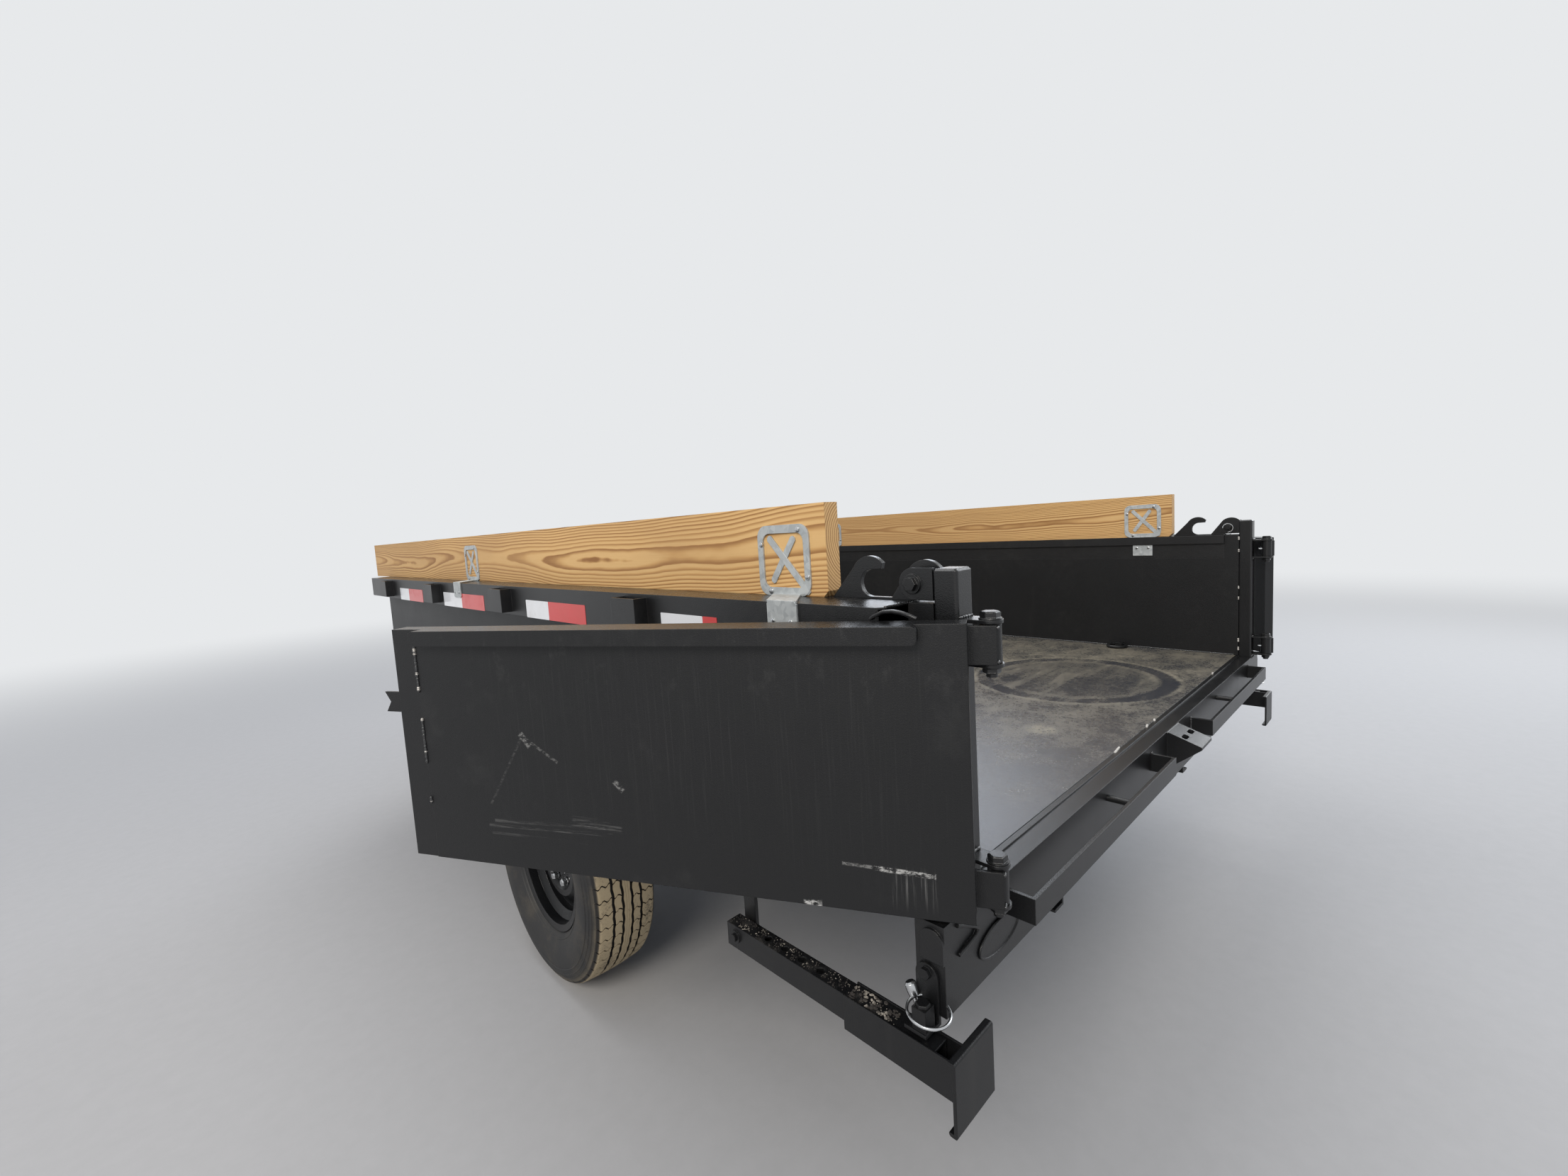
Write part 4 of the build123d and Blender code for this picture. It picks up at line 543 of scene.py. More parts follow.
def turned(name, profile, places, finish, body="bed", sides=32):
    """One finished piece: a profile of (radius, height) pairs turned about each place's third axis."""
    shape = bmesh.new()
    for place in places:
        loops = []
        for radius, height in profile:
            loops.append([
                shape.verts.new(place @ Vector((radius * cos(turn), radius * sin(turn), height)))
                for turn in circle(sides if radius else 1)
            ])
        for here, there in zip(loops, loops[1:]):
            for step in range(sides):
                following = (step + 1) % sides
                corners = [
                    here[step % len(here)], here[following % len(here)],
                    there[following % len(there)], there[step % len(there)],
                ]
                shape.faces.new(tuple(dict.fromkeys(corners)))
    cast(name, shape, finish, body)


def aimed(place, direction):
    """A frame at place whose third axis points in a direction."""
    return Matrix.Translation(place) @ Vector(direction).to_track_quat("Z", "Y").to_matrix().to_4x4()


cap_profile = (
    (0.0, 0.079), (0.012, 0.0785), (0.022, 0.0765), (0.028, 0.0725), (0.031, 0.066), (0.0315, 0.046),
    (0.035, 0.0445), (0.035, 0.0415), (0.0, 0.0415),
)
valve_profile = (
    (0.0, 0.040), (0.0035, 0.040), (0.0040, 0.037), (0.0040, 0.028), (0.0032, 0.027), (0.0032, 0.012),
    (0.0062, 0.010), (0.0068, 0.0), (0.0, 0.0),
)
nut_circle = 0.070
nut_seat = 0.0375
valve_seat = 0.020
valve_r = 0.186
for side, sign in (("left", -1), ("right", 1)):
    pattern = Pattern(f"{side}_tyre_tread", Pitches=pitches)
    line = {"Count": pattern.size("Pitches"), "Offset": (0.0, 0.0, 0.0)}
    around_tyre = pattern.add("GeometryNodeMeshLine", line, mode="OFFSET")
    angle = pattern.add("GeometryNodeInputIndex") * -tau / pattern.size("Pitches")
    turn = pattern.add("FunctionNodeAxisAngleToRotation", {"Axis": (1.0, 0.0, 0.0), "Angle": angle})
    ring = pattern.on_points(around_tyre, pattern.start, Rotation=turn)
    tyre_mesh = pattern.grow(pitch_mesh.copy(), ring, rubber)
    hub = Vector((sign * wheel_x, axle_y, axle_z))
    tyre_mesh.transform(Matrix.Translation(hub))
    joined = bmesh.new()
    joined.from_mesh(tyre_mesh)
    bmesh.ops.remove_doubles(joined, verts=joined.verts, dist=0.00008)
    wheel = f"{side}_wheel"
    tyre = cast(f"{side}_treaded_tyre", joined, rubber, wheel, crease=28.0)
    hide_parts(f"{side}_tyre")
    rim_coat.coat(f"{side}_rim")
    outward = Vector((sign, 0, 0))
    nut_places = [
        (hub + outward * nut_seat + Vector((0, cos(turn), sin(turn))) * nut_circle, outward)
        for turn in circle(6)
    ]
    fasteners(
        f"{side}_wheel_nuts", nut_places, plated, radius=0.0142, height=0.021, body=wheel,
    )
    turned(f"{side}_hub_cap", cap_profile, [aimed(hub, outward)], plated, wheel)
    valve_place = aimed(hub + outward * valve_seat + Vector((0, 0, valve_r)), (sign, 0.0, -0.25))
    turned(f"{side}_valve", valve_profile, [valve_place], rubber, wheel, sides=16)

# Hoist: one hydraulic cylinder between the chassis and the bed's lift tube.
# The barrel is gloss black; the rod is ground steel with hard chrome.
barrel_coat = powder_coat("hoist_gloss_coat", dust=0.2, scratches=0.1, gloss=0.2)
barrel_coat.coat("hoist_barrel")
chrome = Finish("chromed_rod")
chrome_smear = chrome.noise(30.0, 4.0)
chrome.surface(
    Base_Color=chrome.mix(chrome_smear, (0.56, 0.57, 0.59), (0.66, 0.67, 0.69)),
    Metallic=1.0,
    Roughness=0.08 + chrome_smear * 0.12,
)
chrome.relief(chrome.noise(300.0, 2.0), 0.00004)
chrome.coat("hoist_rod")

# Bed frame: sills, crossmembers and the lift tube under the floor sheet.
# Welded channels and tubes, coated with the floor and dusted by the road.
frame_coat.coat("side_sills", "bed_crossmembers", "bed_sills", "hoist_lift_tube")

# Bed floor: one steel sheet, its black coat worn dull by loads. Tan dust lies on it, least near the left
# rear, and tyres that lay flat on it have left their rings.
floor_z = 0.305
floor = Finish("bed_floor_worn")
near_ring = floor.away((0.41, -4.55, floor_z))
far_ring = floor.away((0.30, -3.62, floor_z))
floor_cloud = floor.noise(1.7, 8.0, 0.62)
floor_grain = floor.noise(120.0, 7.0, 0.85)
blotch = floor.noise(7.5, 9.0, 0.72)
smear = floor.noise(5.0, 7.0, 0.65, y=0.25, turn=(0.0, 0.0, 0.5))
swirl = floor.noise(9.0, 6.0, 0.6, x=0.3, y=1.6, turn=(0.0, 0.0, -0.7))
wobble = near_ring + smear * 0.026 + blotch * 0.012
rubbed = floor.between(wobble, 0.318, 0.372, 0.008)
lip = floor.between(wobble, 0.376, 0.392, 0.006)
inner_line = floor.between(wobble, 0.288, 0.306, 0.008)
inner_disc = 1 - floor.band(wobble, 0.30, 0.32)
far_rub = floor.between(far_ring + smear * 0.01, 0.315, 0.350, 0.008)
across_floor = floor.axis("X") + floor.axis("Y") * 0.55 + blotch * 0.9 + floor_cloud * 0.5
to_right = floor.band(across_floor, -2.95, -1.25)
patchy = floor.band(floor_cloud * 0.30 + floor_grain * 0.40 + blotch * 0.30, 0.38, 0.62)
dust_mask = patchy * (0.06 + to_right * 0.80)
dust_mask = dust_mask * (1 - inner_disc * 0.55) + inner_disc * floor.band(swirl, 0.45, 0.75) * 0.35
dust_mask = dust_mask + lip * 0.16 + inner_line * 0.12
dust_mask = dust_mask * (1 - rubbed * floor.band(swirl, 0.25, 0.60) * 0.78) * (1 - far_rub * 0.5)
splash = floor.away((-0.24, -4.72, floor_z)) + blotch * 0.16 + floor_grain * 0.05
splash_mask = (1 - floor.band(splash, 0.12, 0.18)) * floor.band(floor_grain, 0.40, 0.56)
dust_mask = (dust_mask + splash_mask * 0.7).smaller(0.92)
worn_black = floor.mix(floor_cloud, (0.022, 0.024, 0.031), (0.040, 0.044, 0.054))
tan_dust = floor.mix(blotch, (0.20, 0.185, 0.125), (0.285, 0.24, 0.175))
floor.surface(
    Base_Color=floor.mix(dust_mask, worn_black, tan_dust),
    Roughness=0.10 + dust_mask * 0.45 + floor_grain * 0.08 + blotch * 0.06,
    Specular_IOR_Level=0.8,
)
floor.relief(floor_grain * 0.55 + smear * 0.45, 0.0008, 0.001)
floor.coat("bed_floor")

# Rear beam: a deep channel across the bed's end, with the latch plate at its middle and ramp bars behind it.
# A filler strip closes the seam with the floor, and a few welds there were left bare and bright.
beam_coat = powder_coat("beam_powder_coat", dust=0.16, scratches=0.5, gloss=0.30, shine=0.42)
beam_coat.coat("rear_beam", "ramp_bars")
bed_rear_y = -5.0
beam_seam_y = -4.945
beam_top = 0.301


def slab(shape, outline, place, thick):
    """Add a flat plate: its outline in the first two axes of place, its thickness along the third."""
    low, high = (
        [shape.verts.new(place @ Vector((across, along, level))) for across, along in outline]
        for level in (0.0, thick)
    )
    shape.faces.new(low[::-1])
    shape.faces.new(high)
    skin(shape, [low, high])


def cut_box(width, height, cut):
    """A rectangle about the origin with its corners cut off."""
    x, y = width / 2, height / 2
    return [
        (-x + cut, -y), (x - cut, -y), (x, -y + cut), (x, y - cut),
        (x - cut, y), (-x + cut, y), (-x, y - cut), (-x, -y + cut),
    ]


strip = bmesh.new()
strip_place = Matrix.Translation((0.0, beam_seam_y - 0.007, beam_top - 0.0005))
slab(strip, cut_box(2.22, 0.013, 0.002), strip_place, 0.0035)
cast("floor_seam_strip", strip, beam_coat)
bare_weld = Finish("bare_weld_metal")
weld_grain = bare_weld.noise(260.0, 5.0, 0.7)
bare_weld.surface(
    Base_Color=bare_weld.mix(weld_grain, (0.25, 0.22, 0.19), (0.72, 0.70, 0.66)),
    Metallic=0.7,
    Roughness=0.34 + weld_grain * 0.3,
)
bare_weld.relief(weld_grain, 0.0006)
weld_beads(
    "bare_seam_welds",
    [
        (
            (middle - half, beam_seam_y - 0.001, beam_top + 0.0025),
            (middle + half, beam_seam_y + 0.003, beam_top + 0.0030),
        )
        for middle, half in ((-0.290, 0.022), (-0.040, 0.010), (0.030, 0.008), (0.734, 0.012))
    ],
    bare_weld, bead=0.0032,
)
beam_weld_table = (
    # begin and end across, how far behind the beam, begin and end in height: posts, then the ramp bars' ends
    (1.118, 1.163, 0.0005, 0.299, 0.299),
    (0.195, 0.195, 0.001, 0.232, 0.280), (1.045, 1.045, 0.001, 0.232, 0.280),
)
latch_weld_half = 0.053
weld_beads(
    "rear_beam_welds",
    [
        ((side * near, bed_rear_y - behind, low), (side * far, bed_rear_y - behind, high))
        for near, far, behind, low, high in beam_weld_table for side in (-1, 1)
    ] + [
        ((-latch_weld_half, bed_rear_y - 0.001, 0.298), (latch_weld_half, bed_rear_y - 0.001, 0.298)),
    ],
    bead_coat, bead=0.0035,
)


def bent_rod(shape, path, radius, sides=10, closed=False):
    """Sweep a round wire along a path of points."""
    path = [Vector(point) for point in path]
    loops = []
    aside = None
    for index, point in enumerate(path):
        before = path[index - 1] if index or closed else point
        after = path[(index + 1) % len(path)] if index < len(path) - 1 or closed else point
        along = (after - before).normalized()
        aside = aside - along * aside.dot(along) if aside else along.orthogonal()
        aside.normalize()
        rise = along.cross(aside)
        loops.append([
            shape.verts.new(point + (aside * cos(turn) + rise * sin(turn)) * radius) for turn in circle(sides)
        ])
    skin(shape, loops, closed)
    if not closed:
        shape.faces.new(loops[0][::-1])
        shape.faces.new(loops[-1])


chevron = bmesh.new()
bent_rod(
    chevron,
    [(-1.205, -5.002, 0.288), (-1.180, -5.004, 0.277), (-1.152, -5.004, 0.262), (-1.143, -5.004, 0.253),
     (-1.152, -5.004, 0.246), (-1.180, -5.004, 0.241), (-1.203, -5.002, 0.236)],
    0.0035,
)
cast("beam_end_loop", chevron, beam_coat)
oval_place = Matrix.Translation((-1.066, bed_rear_y, 0.2025)) @ Matrix.Rotation(radians(90), 4, "X")
oval_skin = 0.0025
oval_outline = [(0.071 * cos(turn), 0.028 * sin(turn)) for turn in circle(40)]
oval = bmesh.new()
slab(oval, oval_outline, oval_place, oval_skin)
oval_edge = [oval_place @ Vector((across, along, oval_skin)) for across, along in oval_outline]
bent_rod(oval, oval_edge, 0.0024, sides=8, closed=True)
cast("bare_oval_plate", oval, beam_coat, crease=50.0)

# Walls: double-skinned steel panels, smooth inside, scuffed by loads.
# Short stitch welds join them to the posts.
wall_coat = powder_coat("wall_powder_coat", dust=0.4, scratches=0.6, gloss=0.40)
wall_coat.coat("left_wall", "right_wall", "front_wall")
inside_half = 1.116
stitch_spans = (
    # heights above the floor
    (0.024, 0.034), (0.060, 0.070), (0.238, 0.246), (0.283, 0.291), (0.437, 0.443), (0.487, 0.495),
)
weld_beads(
    "wall_stitch_welds",
    both_sides(*(
        ((inside_half, -4.955, floor_z + low), (inside_half, -4.955, floor_z + high))
        for low, high in stitch_spans
    )),
    bare_weld, bead=0.0034,
)
weld_beads(
    "wall_foot_welds",
    both_sides(((inside_half, -4.938, floor_z + 0.002), (inside_half, -1.40, floor_z + 0.002))),
    bead_coat, bead=0.0032,
)

# Rear posts and hinges: capped tubes with ear plates, bolts, lock nuts and grease nipples.
# The bolts run through the doors' barrels and are held below by a nut.
post_coat = powder_coat("post_powder_coat", dust=0.2, scratches=0.7, gloss=0.26, shine=0.5)
post_coat.coat("rear_posts")
hinge_x = 1.143
hinge_y = -5.044
hinge_bases = (0.319, 0.720)
hinge_barrel = 0.062
for name, above_base, facing, radius, height, washer in (
    ("hinge_lock_nuts", -0.0075, -1, 0.0145, 0.011, 0.0165),
    ("hinge_bolt_heads", hinge_barrel + 0.0072, 1, 0.0162, 0.0125, 0.0185),
):
    ends = [
        ((side * hinge_x, hinge_y, base + above_base), (0, 0, facing))
        for side in (-1, 1) for base in hinge_bases
    ]
    fasteners(name, ends, post_coat, radius, height, washer)
ear_lap = 0.0085
weld_beads(
    "hinge_ear_welds",
    [
        [(side * hinge_x + end, bed_rear_y - 0.001, level) for end in (-0.018, 0.018)]
        for side in (-1, 1) for base in hinge_bases
        for level in (base - ear_lap, base + hinge_barrel + ear_lap)
    ],
    bead_coat, bead=0.003,
)

# Top rails: box sections that carry the stake pockets, with conspicuity tape along their outer faces.
# The tape is stuck on in pairs of a white and a red length; its cells glint, and it carries no print.
rail_coat = powder_coat("rail_powder_coat", dust=0.35, scratches=0.3, gloss=0.32, shine=0.5)
rail_coat.coat("left_top_rail", "right_top_rail")
rail_half = 1.242


def tape(name, colour, shade):
    """Reflective film with square cells, a little grimy."""
    finish = Finish(name)
    lattice = finish.stretched(turn=(0.785, 0.0, 0.0))
    cells = finish.add(
        "ShaderNodeTexVoronoi", {"Vector": lattice, "Scale": 210.0, "Randomness": 0.0},
        output="Distance", feature="DISTANCE_TO_EDGE",
    )
    lines = 1 - finish.band(cells, 0.02, 0.10)
    grime = finish.band(finish.noise(11.0, 6.0, 0.65), 0.5, 0.75)
    tint = finish.mix(lines * 0.45, colour, shade)
    finish.surface(
        Base_Color=finish.mix(grime * 0.25, tint, (0.30, 0.27, 0.23)),
        Roughness=0.28 + grime * 0.3,
        Coat_Weight=0.5 - grime * 0.3,
    )
    finish.relief(lines, 0.00012, 0.0004)
    return finish


white_tape = tape("white_reflective_tape", (0.80, 0.81, 0.82), (0.55, 0.57, 0.60))
red_tape = tape("red_reflective_tape", (0.62, 0.022, 0.018), (0.33, 0.010, 0.010))
tape_table = (
    # start of the white length, where the red one takes over, its end, from the bed's rear
    (3.071, 2.914, 2.688), (2.381, 2.155, 1.910), (1.527, 1.360, 1.121), (0.742, 0.579, 0.529),
)
tape_z = floor_z + 0.4375
for side, sign in (("left", -1), ("right", 1)):
    whites = bmesh.new()
    reds = bmesh.new()
    for start, change, end in tape_table:
        for shape, near, far in ((whites, change, start), (reds, end, change)):
            middle = Vector((sign * rail_half, bed_rear_y + (near + far) / 2, tape_z))
            slab(shape, cut_box(far - near, 0.057, 0.002), aimed(middle, (sign, 0, 0)), 0.0006)
    cast(f"{side}_white_tape", whites, white_tape)
    cast(f"{side}_red_tape", reds, red_tape)
handle = bmesh.new()
bent_rod(
    handle,
    [(-1.2405, -4.882, 0.7935), (-1.2450, -4.892, 0.7985), (-1.2455, -4.912, 0.8065),
     (-1.2455, -4.930, 0.8085), (-1.2455, -4.948, 0.8070), (-1.2450, -4.962, 0.8035),
     (-1.2405, -4.972, 0.7985)],
    0.0035,
)
cast("left_rail_handle", handle, post_coat)
weld_beads(
    "rail_end_welds",
    both_sides(((inside_half + 0.004, -4.9045, 0.8115), (1.228, -4.9045, 0.8115))),
    bead_coat, bead=0.003,
)

# Hook plates: flame-cut hooks on the rails, tied to the posts' lugs by a bolt with a hairpin clip behind it.
# Thick steel plate under a scratched black coat; the clips are spring wire, plated bright.
hook_coat = powder_coat("hook_powder_coat", dust=0.2, scratches=0.8, gloss=0.24, shine=0.5)
hook_coat.coat("hook_plates")
clip_y = -4.916
clip_z = 0.840
clip_r = 0.018
clips = bmesh.new()
for sign in (-1, 1):
    bent_rod(
        clips,
        [
            (
                sign * 1.1175,
                clip_y + clip_r * cos(turn) * (1.0 if turn < 4.0 else 0.8),
                clip_z + clip_r * sin(turn),
            )
            for turn in circle(16)[:13]
        ],
        0.0018, sides=8,
    )
cast("lug_bolt_clips", clips, plated)

# Side boards: planed pine two-by-eights, cut plain-sawn so that the rings run out as long arches.
# Pale wood between darker summer rings, small brown knots, open end grain.
timber = Finish("pine_board")
heart_x = timber.noise(0.45, 2.0, 0.4, x=0.0, z=0.0) * 0.10 - 0.115
heart_z = timber.noise(0.7, 2.0, 0.4, x=0.0, z=0.3) * 0.16 + 0.815
ripple = timber.noise(2.6, 5.0, 0.6, y=0.30) * 0.016
knot_field = {"Vector": timber.stretched(x=0.6, z=2.2), "Scale": 1.15}
knots = timber.add("ShaderNodeTexVoronoi", knot_field, output="Distance")
knot_swell = (1 - timber.band(knots, 0.0, 0.16)) * 0.016
ring_x = abs(timber.axis("X")) - 1.133 - heart_x
ring_z = timber.axis("Z") - heart_z
ring_distance = (ring_x * ring_x + ring_z * ring_z) ** 0.5 + ripple + knot_swell
ring_count = ring_distance * 175.0
ring_phase = ring_count.maths("FRACT", ring_count)
ring_weight = timber.noise(0.35, 2.0, 0.5, timber.add("ShaderNodeCombineXYZ", {"X": ring_count})) * 1.6 - 0.05
summer = timber.band(ring_phase, 0.28, 0.84) * (1 - timber.band(ring_phase, 0.88, 1.0)) * ring_weight
fibre = timber.noise(38.0, 6.0, 0.7, x=10.0, y=0.25, z=10.0)
tone = timber.noise(1.3, 4.0, 0.55, y=0.5, z=2.0)
wood_colour = timber.add(
    "ShaderNodeValToRGB",
    {"Fac": summer * 0.80 + fibre * 0.20},
    stops=[(0.05, (0.74, 0.475, 0.20)), (0.32, (0.60, 0.345, 0.125)), (0.82, (0.29, 0.128, 0.034))],
)
knot_core = 1 - timber.band(knots + fibre * 0.02, 0.026, 0.044)
weathered = timber.mix(timber.band(tone, 0.42, 0.66) * 0.42, wood_colour, (0.42, 0.235, 0.095))
timber.surface(
    Base_Color=timber.mix(knot_core * 0.7, weathered, (0.16, 0.06, 0.02)),
    Roughness=0.55 + fibre * 0.22,
)
timber.relief(fibre * 0.45 + summer * 0.55, 0.0005, 0.0030)
timber.coat("left_board", "right_board")

# Board brackets: stamped frames with a cross, hot-dip zinc with its cloudy crystals.
# Galvanised nails hold them to the timber and screws hold the tabs to the rails.
zinc = Finish("galvanised_bracket")
crystals = zinc.add("ShaderNodeTexVoronoi", {"Vector": zinc.place, "Scale": 90.0}, output="Color")
crystal_shade = zinc.add("ShaderNodeRGBToBW", {0: crystals})
zinc_cloud = zinc.noise(14.0, 4.0)
zinc.surface(
    Base_Color=zinc.mix(crystal_shade * 0.5 + zinc_cloud * 0.4, (0.34, 0.365, 0.37), (0.66, 0.68, 0.67)),
    Metallic=0.55,
    Roughness=0.44 + crystal_shade * 0.2,
)
zinc.relief(zinc_cloud, 0.0005, 0.0012)
board_inner_x = 1.114
board_outer_x = 1.152
rail_top = 0.812
bracket_skin = 0.004
bracket_rise = 0.073
bracket_places = (-4.595, -2.732)
tab_crank = 0.080
tab_half = 0.040
lip_x = 1.1095
outer_drop = 0.060
tab_table = (
    # near and far edge across, ends of the near edge, how far the far edge is cranked, how far it hangs down
    (1.1525, 1.2455, -0.042, 0.038, tab_crank, 0.0),
    (lip_x, 1.1135, -tab_half, tab_half, 0.0, 0.083),
)
frame_outline = (0.150, 0.146, 0.026)
frame_opening = (0.118, 0.112, 0.018)
cross_table = (
    # one end of a bar, its other end, width, thickness, on the bracket's face
    ((0.040, 0.046), (-0.066, -0.064), 0.015, 0.0034),
    ((-0.030, 0.044), (0.033, -0.042), 0.015, 0.0030),
)
nail_spots = ((0.063, 0.034), (-0.046, 0.062), (-0.068, -0.034), (0.040, -0.064))


def rounded(width, height, radius, steps=6):
    """A rectangle about the origin with round corners."""
    return [
        (
            across * (width / 2 - radius) + radius * cos(tau / 4 * (quarter + step / steps)),
            up * (height / 2 - radius) + radius * sin(tau / 4 * (quarter + step / steps)),
        )
        for quarter, (across, up) in enumerate(((1, 1), (-1, 1), (-1, -1), (1, -1)))
        for step in range(steps + 1)
    ]


def strap(begin, end, width):
    """The outline of a bar from one point to another, its ends tapered."""
    begin, end = Vector(begin), Vector(end)
    along = (end - begin).normalized()
    aside = Vector((-along.y, along.x)) * width / 2
    tip = along * width * 0.3
    return [
        begin + aside, begin - tip + aside / 2, begin - tip - aside / 2, begin - aside,
        end - aside, end + tip - aside / 2, end + tip + aside / 2, end + aside,
    ]


def on_side(x, y, z, outward):
    """A frame on a face that looks sideways: its first axis runs along the trailer, its second upwards."""
    return Matrix(((0, 0, outward, x), (1, 0, 0, y), (0, 1, 0, z), (0, 0, 0, 1)))


plates = bmesh.new()
nails = []
for sign in (-1, 1):
    for middle in bracket_places:
        for face_x, outward in ((board_outer_x, sign), (board_inner_x, -sign)):
            face = on_side(sign * face_x, middle, rail_top + bracket_rise, outward)
            loops = [
                [plates.verts.new(face @ Vector((across, up, level))) for across, up in rounded(*outline)]
                for outline, level in (
                    (frame_outline, 0.0), (frame_outline, bracket_skin),
                    (frame_opening, bracket_skin), (frame_opening, 0.0),
                )
            ]
            skin(plates, loops, closed=True)
            for begin, end, width, thick in cross_table:
                slab(plates, strap(begin, end, width), face, thick)
            nails += [(face @ Vector((along, up, bracket_skin)), (outward, 0, 0)) for along, up in nail_spots]
        # The outer tab is cranked rearwards to clear the pocket; the inner one drops over the rail's lip.
        for near_x, far_x, near_low, near_high, crank, drop in tab_table:
            tab = [
                (sign * near_x, middle + near_low), (sign * far_x, middle - crank - tab_half),
                (sign * far_x, middle - crank + tab_half), (sign * near_x, middle + near_high),
            ]
            slab(plates, tab, Matrix.Translation((0, 0, rail_top - drop)), drop + bracket_skin)
        drop_z = rail_top + 0.0035 - outer_drop / 2
        drop_place = on_side(sign * rail_half, middle - tab_crank, drop_z, sign)
        slab(plates, cut_box(2 * tab_half, outer_drop, 0.006), drop_place, bracket_skin)
        for along in (-0.024, 0.024):
            nails.append(((sign * 1.246, middle - tab_crank + along, rail_top - 0.036), (sign, 0, 0)))
            nails.append(((sign * lip_x, middle + along, rail_top - 0.048), (-sign, 0, 0)))
brackets = cast("bracket_plates", plates, zinc)
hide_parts("board_brackets")
fasteners("bracket_nails", nails, plated, radius=0.0058, height=0.0030, sides=16)

# Tie-down rings: round bar held by clips at the foot of the walls, each clip welded to the floor.
# Mild steel under the same black coat as the frame.
frame_coat.coat("tie_down_rings")
weld_beads(
    "tie_ring_welds",
    both_sides(*(
        ((1.087, place + along, floor_z + 0.002), (1.114, place + along, floor_z + 0.002))
        for place in (-4.495, -1.85) for along in (-0.0155, 0.0155)
    )),
    bead_coat, bead=0.0028,
)

# Doors: a sheet on a tube frame with a stiffener along the top and a stepped strip at the free edge.
# The coat is scraped where loads have leant on it, with drips below; stitch welds follow the strip, and a few
# bright beads on them are painted glints.


def streaks(finish, table):
    """Worn lines on the shut door's face, each between two (across, up) points."""
    worn = 0.0
    for begin, end, width, strength in table:
        span = (end[0] - begin[0], end[1] - begin[1])
        length = hypot(*span)
        across = finish.axis("X") - begin[0]
        up = finish.axis("Z") - begin[1]
        along = (across * span[0] + up * span[1]) / length
        aside = abs(across * span[1] - up * span[0]) / length
        off_end = abs(along - length / 2) - length / 2
        worn = worn + (1 - finish.band(aside.larger(off_end), width * 0.4, width)) * strength
    return worn


scrape_table = (
    # two ends, each across and up, width, strength
    ((-0.273, 0.581), (-0.347, 0.534), 0.0040, 0.22),
    ((-0.273, 0.581), (-0.285, 0.566), 0.0080, 0.45),
    ((-0.273, 0.581), (-0.181, 0.436), 0.0035, 0.09),
    ((-0.475, 0.500), (-0.485, 0.490), 0.0070, 0.4),
    ((-0.955, 0.389), (-1.045, 0.385), 0.0055, 1.1),
    ((-0.900, 0.392), (-0.990, 0.388), 0.0040, 0.35),
    ((-0.850, 0.3125), (-0.835, 0.3115), 0.0100, 1.3),
)
rub_table = (
    ((-0.175, 0.393), (-0.456, 0.398), 0.0045, 0.15),
    ((-0.190, 0.404), (-0.440, 0.410), 0.0045, 0.11),
    ((-0.380, 0.420), (-0.470, 0.414), 0.0120, 0.13),
    ((-0.180, 0.378), (-0.400, 0.376), 0.0035, 0.09),
)


def left_door_marks(finish):
    across = finish.axis("X")
    up = finish.axis("Z")
    gaps = finish.band(finish.noise(150.0, 6.0, 0.75, x=0.5), 0.44, 0.60)
    brushed = finish.band(finish.noise(50.0, 5.0, 0.7, x=0.15, z=3.0), 0.46, 0.62)
    drip = finish.noise(260.0, 4.0, 0.7, z=0.02)
    below = finish.between(across, -1.050, -0.965, 0.012) * finish.between(up, 0.318, 0.383, 0.02)
    runs = below * finish.band(up, 0.31, 0.385) * finish.band(drip, 0.50, 0.66) * 0.20
    marks = streaks(finish, scrape_table) * gaps + streaks(finish, rub_table) * brushed + runs
    above = finish.between(across, -1.06, -0.20, 0.10) * finish.between(up, 0.42, 0.79, 0.12)
    thumbed = finish.band(finish.noise(24.0, 4.0, 0.7, z=0.6), 0.56, 0.74)
    high = finish.band(up, 0.62, 0.74) * thumbed * 0.030
    smudge = finish.band(finish.noise(5.0, 6.0, 0.7), 0.55, 0.72)
    return marks + above * finish.band(drip, 0.50, 0.78) * 0.022 + smudge * 0.014 + high


def right_door_marks(finish):
    gaps = finish.band(finish.noise(64.0, 5.0, 0.7), 0.40, 0.60)
    table = (((0.310, 0.520), (0.455, 0.470), 0.0030, 0.2), ((0.700, 0.380), (0.930, 0.392), 0.0060, 0.3))
    return streaks(finish, table) * gaps


